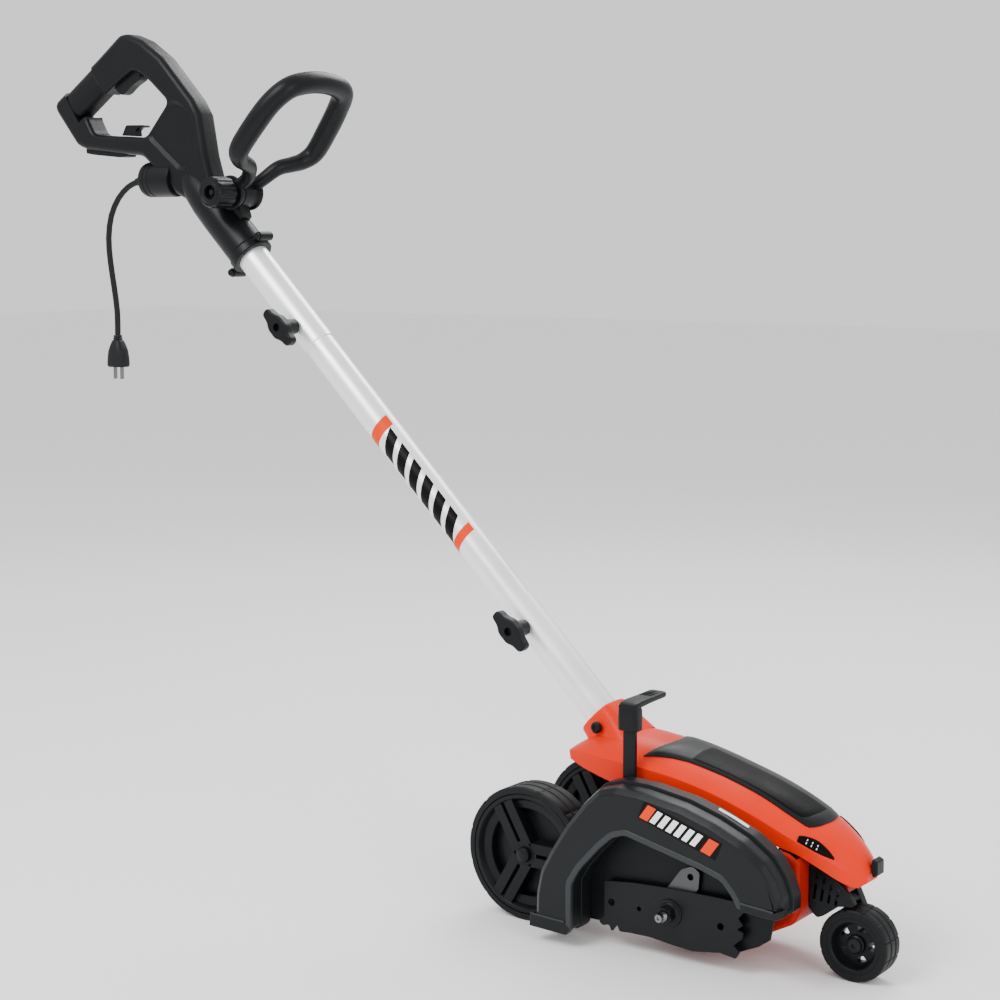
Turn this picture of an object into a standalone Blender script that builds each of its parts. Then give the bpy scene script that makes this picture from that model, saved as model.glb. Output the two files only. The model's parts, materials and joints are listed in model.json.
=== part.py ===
"""Walk-behind electric lawn edger with a telescoping shaft, as separate solids.

Metres. X is forward, Y is to the user's left and Z is up. Everything is laid out from a point on the
floor under the rear axle, in the plane of the shaft, and the last step moves the whole machine so
that the origin is under the middle of its bounding box.
"""

import math

import bmesh
import bpy
from mathutils import Matrix, Vector

# Wheels
REAR_RADIUS = 0.082
REAR_WIDTH = 0.042
REAR_NEAR_Y = -0.051
REAR_FAR_Y = 0.121
FRONT_RADIUS = 0.041
FRONT_WIDTH = 0.036
FRONT_X = 0.413
FRONT_Y = -0.018
AXLE_RADIUS = 0.005

# Blade and its drive
SPINDLE_X = 0.214
SPINDLE_Z = 0.057
BLADE_LENGTH = 0.190
BLADE_HEIGHT = 0.056
BLADE_THICKNESS = 0.003
BLADE_Y = -0.093
BLADE_SWEEP = math.hypot(BLADE_LENGTH / 2, BLADE_HEIGHT / 2) + 0.0025
SPINDLE_RADIUS = 0.0060
SPINDLE_BORE = 0.0064
MOTOR_TILT = math.radians(18)

# Depth carriage
PIVOT_X = 0.110
PIVOT_Z = 0.150
PIVOT_RADIUS = 0.0060
PIVOT_BORE = 0.0063

# Shaft: stations along it are measured from the joint between its lower and middle tubes
SHAFT_TILT = math.radians(44.5)
SHAFT_X = -0.059
SHAFT_Z = 0.3704
OUTER_TUBE = 0.021
TUBE_WALL = 0.001
MIDDLE_TUBE = 0.0197
LOWER_END = -0.228
SOCKET_MOUTH = -0.172
UPPER_JOINT = 0.436
UPPER_END = 0.690
INSERTION = 0.045
COLLAR = 0.600
LOWER_KNOB = -0.034
UPPER_KNOB = 0.470

# Assist handle
ASSIST_X = -0.504
ASSIST_Z = 0.871

# Cord
CORD_DIAMETER = 0.008

GAP = 0.0003
WALL = 0.003
SMOOTH_ANGLE = math.radians(35)

ALONG_X = Vector((1, 0, 0))
ALONG_Y = Vector((0, 1, 0))
ALONG_Z = Vector((0, 0, 1))
SHAFT = Vector((-math.cos(SHAFT_TILT), 0, math.sin(SHAFT_TILT)))
SHAFT_TOP = Vector((math.sin(SHAFT_TILT), 0, math.cos(SHAFT_TILT)))
MOTOR = Vector((math.cos(MOTOR_TILT), 0, math.sin(MOTOR_TILT)))
SPINDLE = Vector((SPINDLE_X, 0, SPINDLE_Z))


def on_shaft(station, above=0.0, left=0.0):
    """A point given by its station along the shaft, its height over it and its offset to the left."""
    start = Vector((SHAFT_X, 0, SHAFT_Z))
    return start + SHAFT * station + SHAFT_TOP * above + ALONG_Y * left


# ---------------------------------------------------------------- scene and materials


def clear_scene():
    for obj in list(bpy.data.objects):
        bpy.data.objects.remove(obj, do_unlink=True)


def material(name, colour, roughness, metallic=0.0):
    made = bpy.data.materials.new(name)
    made.use_nodes = True
    shader = made.node_tree.nodes["Principled BSDF"]
    shader.inputs["Base Color"].default_value = (*colour, 1.0)
    shader.inputs["Roughness"].default_value = roughness
    shader.inputs["Metallic"].default_value = metallic
    return made


clear_scene()
machine = bpy.data.objects.new("machine", None)
bpy.context.scene.collection.objects.link(machine)

ORANGE = (0.83, 0.16, 0.02)
ORANGE_DARK = (0.62, 0.06, 0.02)
BLACK = (0.02, 0.021, 0.023)
GUARD_GREY = (0.045, 0.047, 0.05)
RUBBER_BLACK = (0.028, 0.028, 0.03)
SILVER = (0.62, 0.63, 0.64)
STEEL = (0.42, 0.42, 0.43)
COPPER = (0.6, 0.28, 0.12)


# ---------------------------------------------------------------- shape helpers


def finished(name, bm, look, smooth=True):
    """Turns a bmesh into an object of the machine, with its own material."""
    bmesh.ops.remove_doubles(bm, verts=bm.verts, dist=1e-7)
    bmesh.ops.recalc_face_normals(bm, faces=bm.faces)
    mesh = bpy.data.meshes.new(name)
    bm.to_mesh(mesh)
    bm.free()
    obj = bpy.data.objects.new(name, mesh)
    bpy.context.scene.collection.objects.link(obj)
    obj.parent = machine
    if look:
        mesh.materials.append(material(name, *look))
    if smooth:
        mesh.shade_smooth()
        mesh.set_sharp_from_angle(angle=SMOOTH_ANGLE)
    return obj


def rings_to_bmesh(rings, closed_loop=False):
    """Joins rings of points, each a closed loop with the same count, and caps both ends."""
    bm = bmesh.new()
    made = [[bm.verts.new(point) for point in ring] for ring in rings]
    pairs = list(zip(made, made[1:]))
    if closed_loop:
        pairs.append((made[-1], made[0]))
    for first, second in pairs:
        for i in range(len(first)):
            j = (i + 1) % len(first)
            bm.faces.new((first[i], first[j], second[j], second[i]))
    if not closed_loop:
        bm.faces.new(list(reversed(made[0])))
        bm.faces.new(made[-1])
    return bm


def lofted(name, rings, look=None):
    return finished(name, rings_to_bmesh(rings), look)


def turned(name, profile, centre, axis, look=None, steps=24):
    """Turns a closed profile of (radius, distance) points round an axis through centre."""
    axis = Vector(axis).normalized()
    side = axis.orthogonal().normalized()
    other = axis.cross(side)
    rings = []
    for step in range(steps):
        angle = 2 * math.pi * (step + 0.5) / steps
        out = side * math.cos(angle) + other * math.sin(angle)
        rings.append([Vector(centre) + out * radius + axis * along for radius, along in profile])
    bm = rings_to_bmesh(rings, closed_loop=True)
    bmesh.ops.remove_doubles(bm, verts=bm.verts, dist=1e-7)
    bmesh.ops.dissolve_degenerate(bm, edges=bm.edges, dist=1e-7)
    loose = [edge for edge in bm.edges if not edge.link_faces]
    bmesh.ops.delete(bm, geom=loose, context="EDGES")
    return finished(name, bm, look)


def rod(name, start, end, radius, look=None, steps=24):
    start, end = Vector(start), Vector(end)
    length = (end - start).length
    profile = [(0, 0), (radius, 0), (radius, length), (0, length)]
    return turned(name, profile, start, end - start, look, steps)


def pipe(name, start, end, inner, outer, look=None, steps=24):
    start, end = Vector(start), Vector(end)
    length = (end - start).length
    profile = [(inner, 0), (outer, 0), (outer, length), (inner, length)]
    return turned(name, profile, start, end - start, look, steps)


def prism(name, outline, low, high, look=None):
    """Extrudes an outline of (x, z) points from one y to another."""
    bm = bmesh.new()
    near = [bm.verts.new((x, low, z)) for x, z in outline]
    face = bm.faces.new(near)
    moved = bmesh.ops.extrude_face_region(bm, geom=[face])
    verts = [item for item in moved["geom"] if isinstance(item, bmesh.types.BMVert)]
    bmesh.ops.translate(bm, verts=verts, vec=(0, high - low, 0))
    return finished(name, bm, look)


def block(name, low, high, look=None):
    outline = [(low[0], low[2]), (high[0], low[2]), (high[0], high[2]), (low[0], high[2])]
    return prism(name, outline, low[1], high[1], look)


def arc(x, z, radius, start, end, steps):
    """Points of an arc about (x, z), with its angles in degrees."""
    angles = [math.radians(start + (end - start) * i / steps) for i in range(steps + 1)]
    return [(x + radius * math.cos(a), z + radius * math.sin(a)) for a in angles]


def inset(outline, distance):
    """The outline moved inwards by a distance, with mitred corners."""
    count = len(outline)
    points = [Vector(point) for point in outline]
    area = sum(points[i].cross(points[(i + 1) % count]) for i in range(count))
    turn = 1 if area > 0 else -1
    result = []
    for i in range(count):
        before = (points[i] - points[i - 1]).normalized()
        after = (points[(i + 1) % count] - points[i]).normalized()
        normal_before = Vector((-before.y, before.x)) * turn
        normal_after = Vector((-after.y, after.x)) * turn
        middle = (normal_before + normal_after).normalized()
        result.append(tuple(points[i] + middle * distance / middle.dot(normal_after)))
    return result


def smooth_path(points, steps):
    """Points read from a Catmull-Rom curve through the given points."""
    points = [Vector(point) for point in points]
    ends = [points[0] * 2 - points[1]] + points + [points[-1] * 2 - points[-2]]
    path = []
    for a, b, c, d in zip(ends, ends[1:], ends[2:], ends[3:]):
        for step in range(steps):
            t = step / steps
            path.append(
                0.5 * (2 * b + (c - a) * t + (2 * a - 5 * b + 4 * c - d) * t**2
                       + (3 * b - a - 3 * c + d) * t**3)
            )
    return path + [points[-1]]


def swept(name, path, radii, look=None, steps=14):
    """A round tube along a path, with a radius at each of its points."""
    tangents = []
    for i in range(len(path)):
        before, after = path[max(i - 1, 0)], path[min(i + 1, len(path) - 1)]
        tangents.append((after - before).normalized())
    side = tangents[0].orthogonal().normalized()
    rings = []
    for point, tangent, radius in zip(path, tangents, radii):
        side = (side - tangent * side.dot(tangent)).normalized()
        other = tangent.cross(side)
        angles = [2 * math.pi * i / steps for i in range(steps)]
        rings.append([point + (side * math.cos(a) + other * math.sin(a)) * radius for a in angles])
    return lofted(name, rings, look)


def evaluated_mesh(obj):
    graph = bpy.context.evaluated_depsgraph_get()
    return bpy.data.meshes.new_from_object(obj.evaluated_get(graph))


def applied(obj):
    """Replaces the object's mesh by its evaluated one and drops its modifiers."""
    bpy.context.view_layer.update()
    mesh = evaluated_mesh(obj)
    obj.modifiers.clear()
    obj.data = mesh
    bm = bmesh.new()
    bm.from_mesh(mesh)
    bmesh.ops.remove_doubles(bm, verts=bm.verts, dist=2e-6)
    bmesh.ops.dissolve_degenerate(bm, edges=bm.edges, dist=1e-6)
    bm.to_mesh(mesh)
    bm.free()
    mesh.shade_smooth()
    mesh.set_sharp_from_angle(angle=SMOOTH_ANGLE)
    return obj


def combined(obj, operation, others):
    """Applies one Boolean for each other object, and removes those objects."""
    for other in others:
        modifier = obj.modifiers.new(operation.lower(), "BOOLEAN")
        modifier.operation = operation
        modifier.solver = "EXACT"
        modifier.object = other
        applied(obj)
        bpy.data.objects.remove(other, do_unlink=True)
    return obj


def joined(obj, *others):
    return combined(obj, "UNION", others)


def without(obj, *cutters):
    return combined(obj, "DIFFERENCE", cutters)


def bevelled(obj, width, segments=2, angle=40):
    modifier = obj.modifiers.new("edges", "BEVEL")
    modifier.width = width
    modifier.segments = segments
    modifier.limit_method = "ANGLE"
    modifier.angle_limit = math.radians(angle)
    modifier.use_clamp_overlap = True
    return applied(obj)


# ---------------------------------------------------------------- hood and lower housing

# Stations along the hood: x, half width, lower edge, crease and crown
HOOD_STATIONS = [
    (0.054, 0.056, 0.2035, 0.2125, 0.224),
    (0.075, 0.062, 0.1970, 0.2150, 0.234),
    (0.110, 0.065, 0.1880, 0.2120, 0.238),
    (0.150, 0.066, 0.1800, 0.2080, 0.234),
    (0.200, 0.066, 0.1700, 0.2000, 0.227),
    (0.250, 0.066, 0.1600, 0.1900, 0.215),
    (0.300, 0.063, 0.1500, 0.1760, 0.200),
    (0.345, 0.057, 0.1410, 0.1570, 0.181),
    (0.375, 0.049, 0.1260, 0.1420, 0.164),
    (0.398, 0.038, 0.1110, 0.1270, 0.147),
    (0.412, 0.025, 0.1040, 0.1180, 0.133),
    (0.419, 0.012, 0.1080, 0.1140, 0.122),
]
# The hood's section from its crease to its crown: share of the half width and of the rise
HOOD_ARCH = [(1.0, 0.0), (0.93, 0.30), (0.76, 0.62), (0.50, 0.87), (0.22, 0.98)]

# Parting line between hood and lower housing, as (x, z) points
PARTING = [(0.050, 0.2046), (0.100, 0.1902), (0.345, 0.1410), (0.412, 0.1026)]


def parting_height(x):
    for (x0, z0), (x1, z1) in zip(PARTING, PARTING[1:]):
        if x <= x1:
            break
    return z0 + (z1 - z0) * (x - x0) / (x1 - x0)


def hood_ring(x, half, base, crease, crown):
    side = [(share * half, crease + rise * (crown - crease)) for share, rise in HOOD_ARCH]
    right = [(-y, z) for y, z in side]
    left = [(y, z) for y, z in reversed(side)]
    section = [(-half, base)] + right + [(0, crown)] + left + [(half, base)]
    return [Vector((x, y, z)) for y, z in section]


def rounded_square(centre, across, up, half_across, half_up, power=4, steps=20):
    ring = []
    for i in range(steps):
        angle = 2 * math.pi * (i + 0.5) / steps
        c, s = math.cos(angle), math.sin(angle)
        y = math.copysign(abs(c) ** (2 / power), c) * half_across
        z = math.copysign(abs(s) ** (2 / power), s) * half_up
        ring.append(centre + across * y + up * z)
    return ring


def socket_boss():
    rings = []
    for station, half_across, half_up in (
        (SOCKET_MOUTH, 0.0262, 0.0262),
        (SOCKET_MOUTH - 0.020, 0.0300, 0.0280),
        (SOCKET_MOUTH - 0.050, 0.0400, 0.0300),
    ):
        rings.append(rounded_square(on_shaft(station), ALONG_Y, SHAFT_TOP, half_across, half_up))
    return lofted("socket_boss", rings)


def shaft_rod(name, start, end, radius, look=None, steps=24):
    return rod(name, on_shaft(start), on_shaft(end), radius, look, steps)


SOCKET_BOLT = on_shaft(-0.188, 0.003)


def make_hood():
    outer = [hood_ring(*station) for station in HOOD_STATIONS]
    hood = lofted("hood", outer, (ORANGE, 0.3))
    inner = []
    for x, half, base, crease, crown in HOOD_STATIONS[:-1]:
        thin = min(WALL, half / 4)
        shift = WALL if x == HOOD_STATIONS[0][0] else 0
        inner.append(hood_ring(x + shift, half - thin, base - 0.02, crease, crown - WALL))
    without(hood, lofted("hood_inside", inner))
    joined(hood, socket_boss())
    below = [(x, z) for x, z in PARTING] + [(0.412, 0.05), (0.050, 0.05)]
    bore = shaft_rod("bore", LOWER_END - 0.02, SOCKET_MOUTH + 0.02, OUTER_TUBE + GAP)
    bolt_hole = rod("bolt_hole", SOCKET_BOLT + ALONG_Y * -0.06, SOCKET_BOLT, 0.0034, steps=16)
    without(hood, prism("below", below, -0.055, 0.055), bore, bolt_hole)


def make_socket_bolt():
    """Cross bolt that holds the lower tube in the hood's socket."""
    profile = [
        (0, 0), (0.0031, 0), (0.0031, 0.0120), (0.0070, 0.0120), (0.0070, 0.0160),
        (0.0055, 0.0175), (0, 0.0175),
    ]
    start = SOCKET_BOLT + ALONG_Y * -(OUTER_TUBE + 2 * GAP)
    turned("socket_bolt", profile, start, -ALONG_Y, (BLACK, 0.4), 20)


HOUSING_HALF = 0.0605
HOUSING_FRONT = 0.358
HOUSING_REAR = 0.135
GEARBOX_NECK = 0.020


def housing_outline(margin, top):
    """Side outline of the lower housing, moved in by a margin, with its top edge raised."""
    rear, front = HOUSING_REAR + margin, HOUSING_FRONT - margin
    return [
        (rear, parting_height(rear) + top),
        (rear, 0.090),
        (0.168 + margin / 2, 0.040 + margin / 2),
        (0.186 + margin / 2, 0.020 + margin),
        (0.245, 0.020 + margin),
        (0.301, 0.033 + margin),
        (0.352 - margin / 2, 0.060 + margin),
        (front, 0.075),
        (front, parting_height(front) + top),
        (0.345, parting_height(0.345) + top),
    ]


def make_lower_housing():
    housing = prism(
        "lower_housing", housing_outline(0, -GAP), -HOUSING_HALF, HOUSING_HALF, (ORANGE_DARK, 0.35)
    )
    bevelled(housing, 0.004)
    half = HOUSING_HALF - WALL
    without(housing, prism("inside", housing_outline(WALL, 0.02), -half, half))
    tray = [
        (0.3565, 0.1210), (0.402, 0.0965), (0.402, parting_height(0.402) - GAP),
        (0.3565, parting_height(0.3565) - GAP),
    ]
    joined(housing, prism("tray", tray, -0.028, 0.028))
    ear = arc(PIVOT_X, PIVOT_Z, 0.0155, 90, 270, 8)
    ear = [(0.1372, PIVOT_Z + 0.0155)] + ear + [(0.1372, PIVOT_Z - 0.0155)]
    for side in (-1, 1):
        low, high = sorted((side * 0.0505, side * HOUSING_HALF))
        joined(housing, prism("ear", ear, low, high))
    shaft_hole = rod("shaft_hole", (PIVOT_X, -0.07, PIVOT_Z), (PIVOT_X, 0.07, PIVOT_Z), PIVOT_BORE)
    neck = SPINDLE + ALONG_Y * -0.08, SPINDLE + ALONG_Y * -0.05
    without(housing, shaft_hole, rod("neck_hole", *neck, GEARBOX_NECK + GAP))


def crown_panel(name, stations, under, top):
    """A panel over the hood, from stations of x and its two edges in y, at two heights above it."""
    rings = []
    for x, first, last in stations:
        across = [first + (last - first) * i / 8 for i in range(9)]
        ring = [Vector((x, y, hood_top(x, y) + top)) for y in across]
        rings.append(ring + [point - ALONG_Z * (top - under) for point in reversed(ring)])
    return lofted(name, rings, (BLACK, 0.45))


def make_inlay():
    """Black panel set on the hood's crown."""
    stations = [
        (0.142, 0.006), (0.160, 0.028), (0.200, 0.038), (0.250, 0.038), (0.300, 0.034),
        (0.345, 0.027), (0.370, 0.018), (0.377, 0.006),
    ]
    crown_panel("hood_inlay", [(x, -half, half) for x, half in stations], 0.0015, 0.0035)


def hood_top(x, y):
    """Height of the hood's outer surface over a point of its plan."""
    for low, high in zip(HOOD_STATIONS, HOOD_STATIONS[1:]):
        if x <= high[0]:
            break
    share = (x - low[0]) / (high[0] - low[0])
    heights = []
    for _, half, _, crease, crown in (low, high):
        section = [(s * half, crease + r * (crown - crease)) for s, r in HOOD_ARCH] + [(0, crown)]
        for (y1, z1), (y0, z0) in zip(section, section[1:]):
            if abs(y) >= y0:
                break
        heights.append(z0 + (z1 - z0) * (abs(y) - y0) / (y1 - y0))
    return heights[0] + (heights[1] - heights[0]) * share


def make_vents():
    """Two black vent panels on the hood's shoulders, mirror images of each other."""
    edges = [(0.338, 0.037, 0.050), (0.345, 0.034, 0.051), (0.362, 0.030, 0.046),
             (0.375, 0.027, 0.041)]
    crown_panel("vent_panel_left", edges, 0.0022, 0.0052)
    crown_panel("vent_panel_right", [(x, -far, -near) for x, near, far in edges], 0.0022, 0.0052)


def make_nose_tab():
    outline = [(0.4185, 0.126), (0.4215, 0.134), (0.4270, 0.131), (0.4275, 0.116), (0.4215, 0.113)]
    bevelled(prism("nose_tab", outline, -0.007, 0.011, (BLACK, 0.45)), 0.0012)


# ---------------------------------------------------------------- guard


GUARD_FACE = -0.127
GUARD_BACK = -0.0845
GUARD_OUTLINE = [
    (0.046, 0.019), (0.047, 0.060), (0.053, 0.088), (0.067, 0.114), (0.088, 0.147),
    (0.114, 0.179), (0.134, 0.198), (0.157, 0.205), (0.193, 0.204), (0.245, 0.196),
    (0.285, 0.184), (0.323, 0.168), (0.351, 0.149), (0.366, 0.129), (0.374, 0.109),
    (0.374, 0.090), (0.366, 0.086), (0.319, 0.089), (0.310, 0.104), (0.297, 0.118),
    (0.271, 0.126), (0.174, 0.148), (0.158, 0.143), (0.141, 0.128), (0.114, 0.098),
    (0.102, 0.078), (0.102, 0.023), (0.096, 0.017),
]


def make_guard():
    """Deep shell over the blade, open at the back and under its arch."""
    guard = prism("blade_guard", GUARD_OUTLINE, GUARD_FACE, GUARD_BACK, (GUARD_GREY, 0.45))
    hollow = prism("hollow", inset(GUARD_OUTLINE, WALL), GUARD_FACE + WALL, GUARD_BACK + 0.02)
    room_start = SPINDLE + ALONG_Y * (BLADE_Y - 0.005)
    blade_room = rod("blade_room", room_start, SPINDLE + ALONG_Y * (GUARD_BACK + 0.02), BLADE_SWEEP,
                     steps=48)
    without(guard, hollow, blade_room)


def make_inner_guard():
    outline = [
        (0.070, 0.026), (0.070, 0.108), (0.112, 0.172), (0.136, 0.195), (0.157, 0.202),
        (0.192, 0.201), (0.244, 0.193), (0.283, 0.181), (0.321, 0.165), (0.348, 0.147),
        (0.363, 0.128), (0.370, 0.109), (0.370, 0.092), (0.345, 0.088), (0.336, 0.046),
        (0.322, 0.036), (0.300, 0.026),
    ]
    plate = prism("inner_guard", outline, -0.0838, -0.0808, (BLACK, 0.5))
    neck = SPINDLE + ALONG_Y * -0.09, SPINDLE + ALONG_Y * -0.07
    without(plate, rod("neck_hole", *neck, GEARBOX_NECK + GAP))


# ---------------------------------------------------------------- drive


def on_motor(distance, left=0.0):
    return SPINDLE + MOTOR * distance + ALONG_Y * left


def motor_turned(name, profile, look, steps=20):
    return turned(name, profile, SPINDLE, MOTOR, look, steps)


def make_gearbox():
    """Cast head with a neck for the spindle and a boss towards the motor."""
    casting = rod("gearbox_head", SPINDLE + ALONG_Y * -0.056, SPINDLE + ALONG_Y * 0.020, 0.0335,
                  (SILVER, 0.4, 0.9))
    joined(
        casting,
        rod("neck", SPINDLE + ALONG_Y * -0.0862, SPINDLE + ALONG_Y * -0.050, GEARBOX_NECK),
        rod("boss", on_motor(0.022), on_motor(0.0585), 0.0250),
    )
    without(
        casting,
        rod("cavity", SPINDLE + ALONG_Y * -0.052, SPINDLE + ALONG_Y * 0.016, 0.0300),
        rod("spindle_bore", SPINDLE + ALONG_Y * -0.10, SPINDLE + ALONG_Y * -0.045, SPINDLE_BORE),
        rod("pinion_bore", on_motor(0.015), on_motor(0.07), 0.0085, steps=20),
    )


def make_spindle():
    spindle = [(0, -0.119), (SPINDLE_RADIUS, -0.119), (SPINDLE_RADIUS, 0.012), (0, 0.012)]
    turned("spindle", spindle, SPINDLE, ALONG_Y, (STEEL, 0.3, 1.0))
    gear = [
        (0.0063, -0.034), (0.0110, -0.034), (0.0110, -0.028), (0.0240, -0.028), (0.0280, -0.018),
        (0.0250, -0.0074), (0.0150, -0.0074), (0.0120, -0.020), (0.0063, -0.020),
    ]
    turned("bevel_gear", gear, SPINDLE, ALONG_Y, (STEEL, 0.35, 1.0))
    inner = [
        (0.0063, -0.0912), (0.0160, -0.0912), (0.0180, -0.0902), (0.0180, -0.0870),
        (0.0063, -0.0870),
    ]
    turned("inner_flange", inner, SPINDLE, ALONG_Y, (STEEL, 0.35, 1.0))
    outer = [
        (0.0063, -0.0980), (0.0110, -0.0980), (0.0150, -0.0965), (0.0160, -0.0948),
        (0.0063, -0.0948),
    ]
    turned("outer_flange", outer, SPINDLE, ALONG_Y, (STEEL, 0.35, 1.0))
    pipe("blade_nut", SPINDLE + ALONG_Y * -0.1085, SPINDLE + ALONG_Y * -0.0983,
         0.0074, 0.0105, (STEEL, 0.35, 1.0), 6)


def make_blade():
    """Flat bar with bevelled leading corners and a short run of teeth behind each."""
    half_length, half_height = BLADE_LENGTH / 2, BLADE_HEIGHT / 2
    tooth = 0.0055
    quarter = [(-half_length, half_height - 0.002), (-half_length, -half_height)]
    for i in range(4):
        x = -half_length + 0.004 + i * 2 * tooth
        quarter += [(x, -half_height), (x + tooth * 0.6, -half_height + 0.005)]
        quarter += [(x + tooth, -half_height - 0.001)]
    quarter += [(-0.030, -half_height), (0.030, -half_height)]
    half = [(SPINDLE_X + x, SPINDLE_Z + z) for x, z in quarter]
    opposite = [(2 * SPINDLE_X - x, 2 * SPINDLE_Z - z) for x, z in half]
    low = BLADE_Y - BLADE_THICKNESS / 2
    blade = prism("edger_blade", half + opposite, low, low + BLADE_THICKNESS, (STEEL, 0.3, 1.0))
    holes = [(0, 0, SPINDLE_BORE), (-0.070, -0.004, 0.004), (-0.042, -0.004, 0.003),
             (0.070, 0.004, 0.004), (0.042, 0.004, 0.003)]
    for x, z, radius in holes:
        centre = SPINDLE + Vector((x, 0, z))
        ends = centre + ALONG_Y * (low - 0.01), centre + ALONG_Y * (low + 0.01)
        without(blade, rod("hole", *ends, radius, steps=12 if radius < 0.005 else 20))


def make_lock_plate():
    """Steel plate behind the blade that slides in to hold the inner flange."""
    x, z = SPINDLE_X, SPINDLE_Z
    outline = [
        (x - 0.008, z + 0.0245), (x + 0.014, z + 0.0245), (x + 0.034, z + 0.030),
        (x + 0.036, z + 0.052), (x + 0.026, z + 0.058), (x + 0.012, z + 0.052),
    ]
    plate = prism("spindle_lock_plate", outline, -0.0895, -0.0870, (SILVER, 0.3, 1.0))
    centre = Vector((x + 0.024, 0, z + 0.045))
    without(plate, rod("hole", centre + ALONG_Y * -0.1, centre + ALONG_Y * -0.08, 0.004, steps=16))


def make_motor():
    pinion = [
        (0.0043, 0.0150), (0.0055, 0.0150), (0.0065, 0.0175), (0.0065, 0.0300), (0.0043, 0.0300),
    ]
    motor_turned("bevel_pinion", pinion, (STEEL, 0.3, 1.0), 20)
    armature = [
        (0, 0.0135), (0.0040, 0.0135), (0.0040, 0.0780), (0.0190, 0.0780), (0.0190, 0.1270),
        (0.0120, 0.1290), (0.0120, 0.1360), (0.0040, 0.1360), (0.0040, 0.1390), (0, 0.1390),
    ]
    motor_turned("armature", armature, (COPPER, 0.4, 0.8))
    fan = [
        (0.0043, 0.0620), (0.0090, 0.0620), (0.0310, 0.0680), (0.0310, 0.0710), (0.0090, 0.0740),
        (0.0043, 0.0740),
    ]
    motor_turned("cooling_fan", fan, (BLACK, 0.5))
    stator = [(0.0196, 0.0780), (0.0345, 0.0780), (0.0345, 0.1300), (0.0196, 0.1300)]
    motor_turned("motor_stator", stator, (STEEL, 0.4, 0.9), 28)


# ---------------------------------------------------------------- wheels


def wheel_turned(name, profile, x, y, z, look, steps):
    return turned(name, profile, Vector((x, y, z)), ALONG_Y, look, steps)


def make_rear_wheel(name, tyre_name, cap_name, y, outward):
    """Open wheel with three double-ribbed spokes; its open face looks outward."""
    half = REAR_WIDTH / 2
    centre = Vector((0, y, REAR_RADIUS))
    rim = [(0.0610, -half), (0.0735, -half), (0.0735, half), (0.0610, half)]
    wheel = wheel_turned(name, rim, 0, y, REAR_RADIUS, (BLACK, 0.5), 30)
    hub = rod("hub", centre - ALONG_Y * half, centre + ALONG_Y * half, 0.0150, steps=20)
    spokes = []
    for turn in (0, 120, 240):
        spoke = prism("spoke", [(0.006, -0.014), (0.063, -0.014), (0.063, 0.014), (0.006, 0.014)],
                      -half + 0.008, half - 0.004)
        low, high = (-half + 0.004, -half + 0.018) if outward < 0 else (half - 0.018, half - 0.004)
        without(spoke, block("groove", (0.018, low, -0.004), (0.058, high, 0.004)))
        spoke.data.transform(Matrix.Translation(centre) @ Matrix.Rotation(math.radians(turn), 4, "Y"))
        spokes.append(spoke)
    joined(wheel, hub, *spokes)
    bore = rod("bore", centre - ALONG_Y * 0.05, centre + ALONG_Y * 0.05, AXLE_RADIUS + GAP, steps=20)
    without(wheel, bore)
    tread = [(0.0738, -half), (0.0800, -half), (REAR_RADIUS, -half + 0.003),
             (REAR_RADIUS, half - 0.003), (0.0800, half), (0.0738, half)]
    wheel_turned(tyre_name, tread, 0, y, REAR_RADIUS, (RUBBER_BLACK, 0.7), 30)
    start = centre + ALONG_Y * outward * (half + GAP)
    cap = [(0, 0.0030), (0, 0.0060), (0.0060, 0.0060), (0.0095, 0.0040), (0.0095, 0.0008),
           (0.0052, 0.0008), (0.0052, 0.0030)]
    turned(cap_name, cap, start, ALONG_Y * outward, (BLACK, 0.5), 20)


def make_front_wheel():
    half = FRONT_WIDTH / 2
    rim = [(AXLE_RADIUS + GAP, -0.010), (0.010, -0.012), (0.010, -0.006), (0.024, -0.006),
           (0.026, -half), (0.0315, -half), (0.0315, half), (0.026, half), (0.024, 0.004),
           (0.010, 0.004), (0.010, half), (AXLE_RADIUS + GAP, half)]
    wheel_turned("front_wheel", rim, FRONT_X, FRONT_Y, FRONT_RADIUS, (BLACK, 0.5), 24)
    tread = [(0.0318, -half), (0.0385, -half), (FRONT_RADIUS, -half + 0.003),
             (FRONT_RADIUS, half - 0.003), (0.0385, half), (0.0318, half)]
    wheel_turned("front_tyre", tread, FRONT_X, FRONT_Y, FRONT_RADIUS, (RUBBER_BLACK, 0.7), 28)


def make_front_arm():
    """Ribbed arm that carries the front wheel on one side."""
    arm_low, arm_high = -0.036, 0.013
    outline = [
        (0.3583, 0.1160), (0.378, 0.1055), (0.396, 0.0930), (0.406, 0.0840), (0.3935, 0.0825),
        (0.3770, 0.0690), (0.3680, 0.0650), (0.3583, 0.078),
    ]
    arm = prism("front_arm", outline, arm_low, arm_high, (BLACK, 0.5))
    leg = [(0.372, 0.100), (0.398, 0.098)] + arc(FRONT_X, FRONT_RADIUS, 0.011, 45, -135, 8)
    joined(arm, prism("leg", leg, 0.0010, arm_high))
    pockets = [(0.3625, 0.110), (0.376, 0.104), (0.392, 0.090), (0.3755, 0.0745), (0.3625, 0.084)]
    without(arm, prism("pocket", pockets, arm_low - 0.01, -0.006))
    wheel = Vector((FRONT_X, 0, FRONT_RADIUS))
    without(arm, rod("bolt_hole", wheel - ALONG_Y * 0.01, wheel + ALONG_Y * 0.03, AXLE_RADIUS + GAP))
    bolt = [(0, -0.0335), (0.0085, -0.0335), (0.0085, -0.0303), (AXLE_RADIUS, -0.0303),
            (AXLE_RADIUS, 0.0170), (0, 0.0170)]
    turned("front_axle_bolt", bolt, wheel, ALONG_Y, (STEEL, 0.35, 1.0), 20)


# ---------------------------------------------------------------- depth carriage


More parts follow.
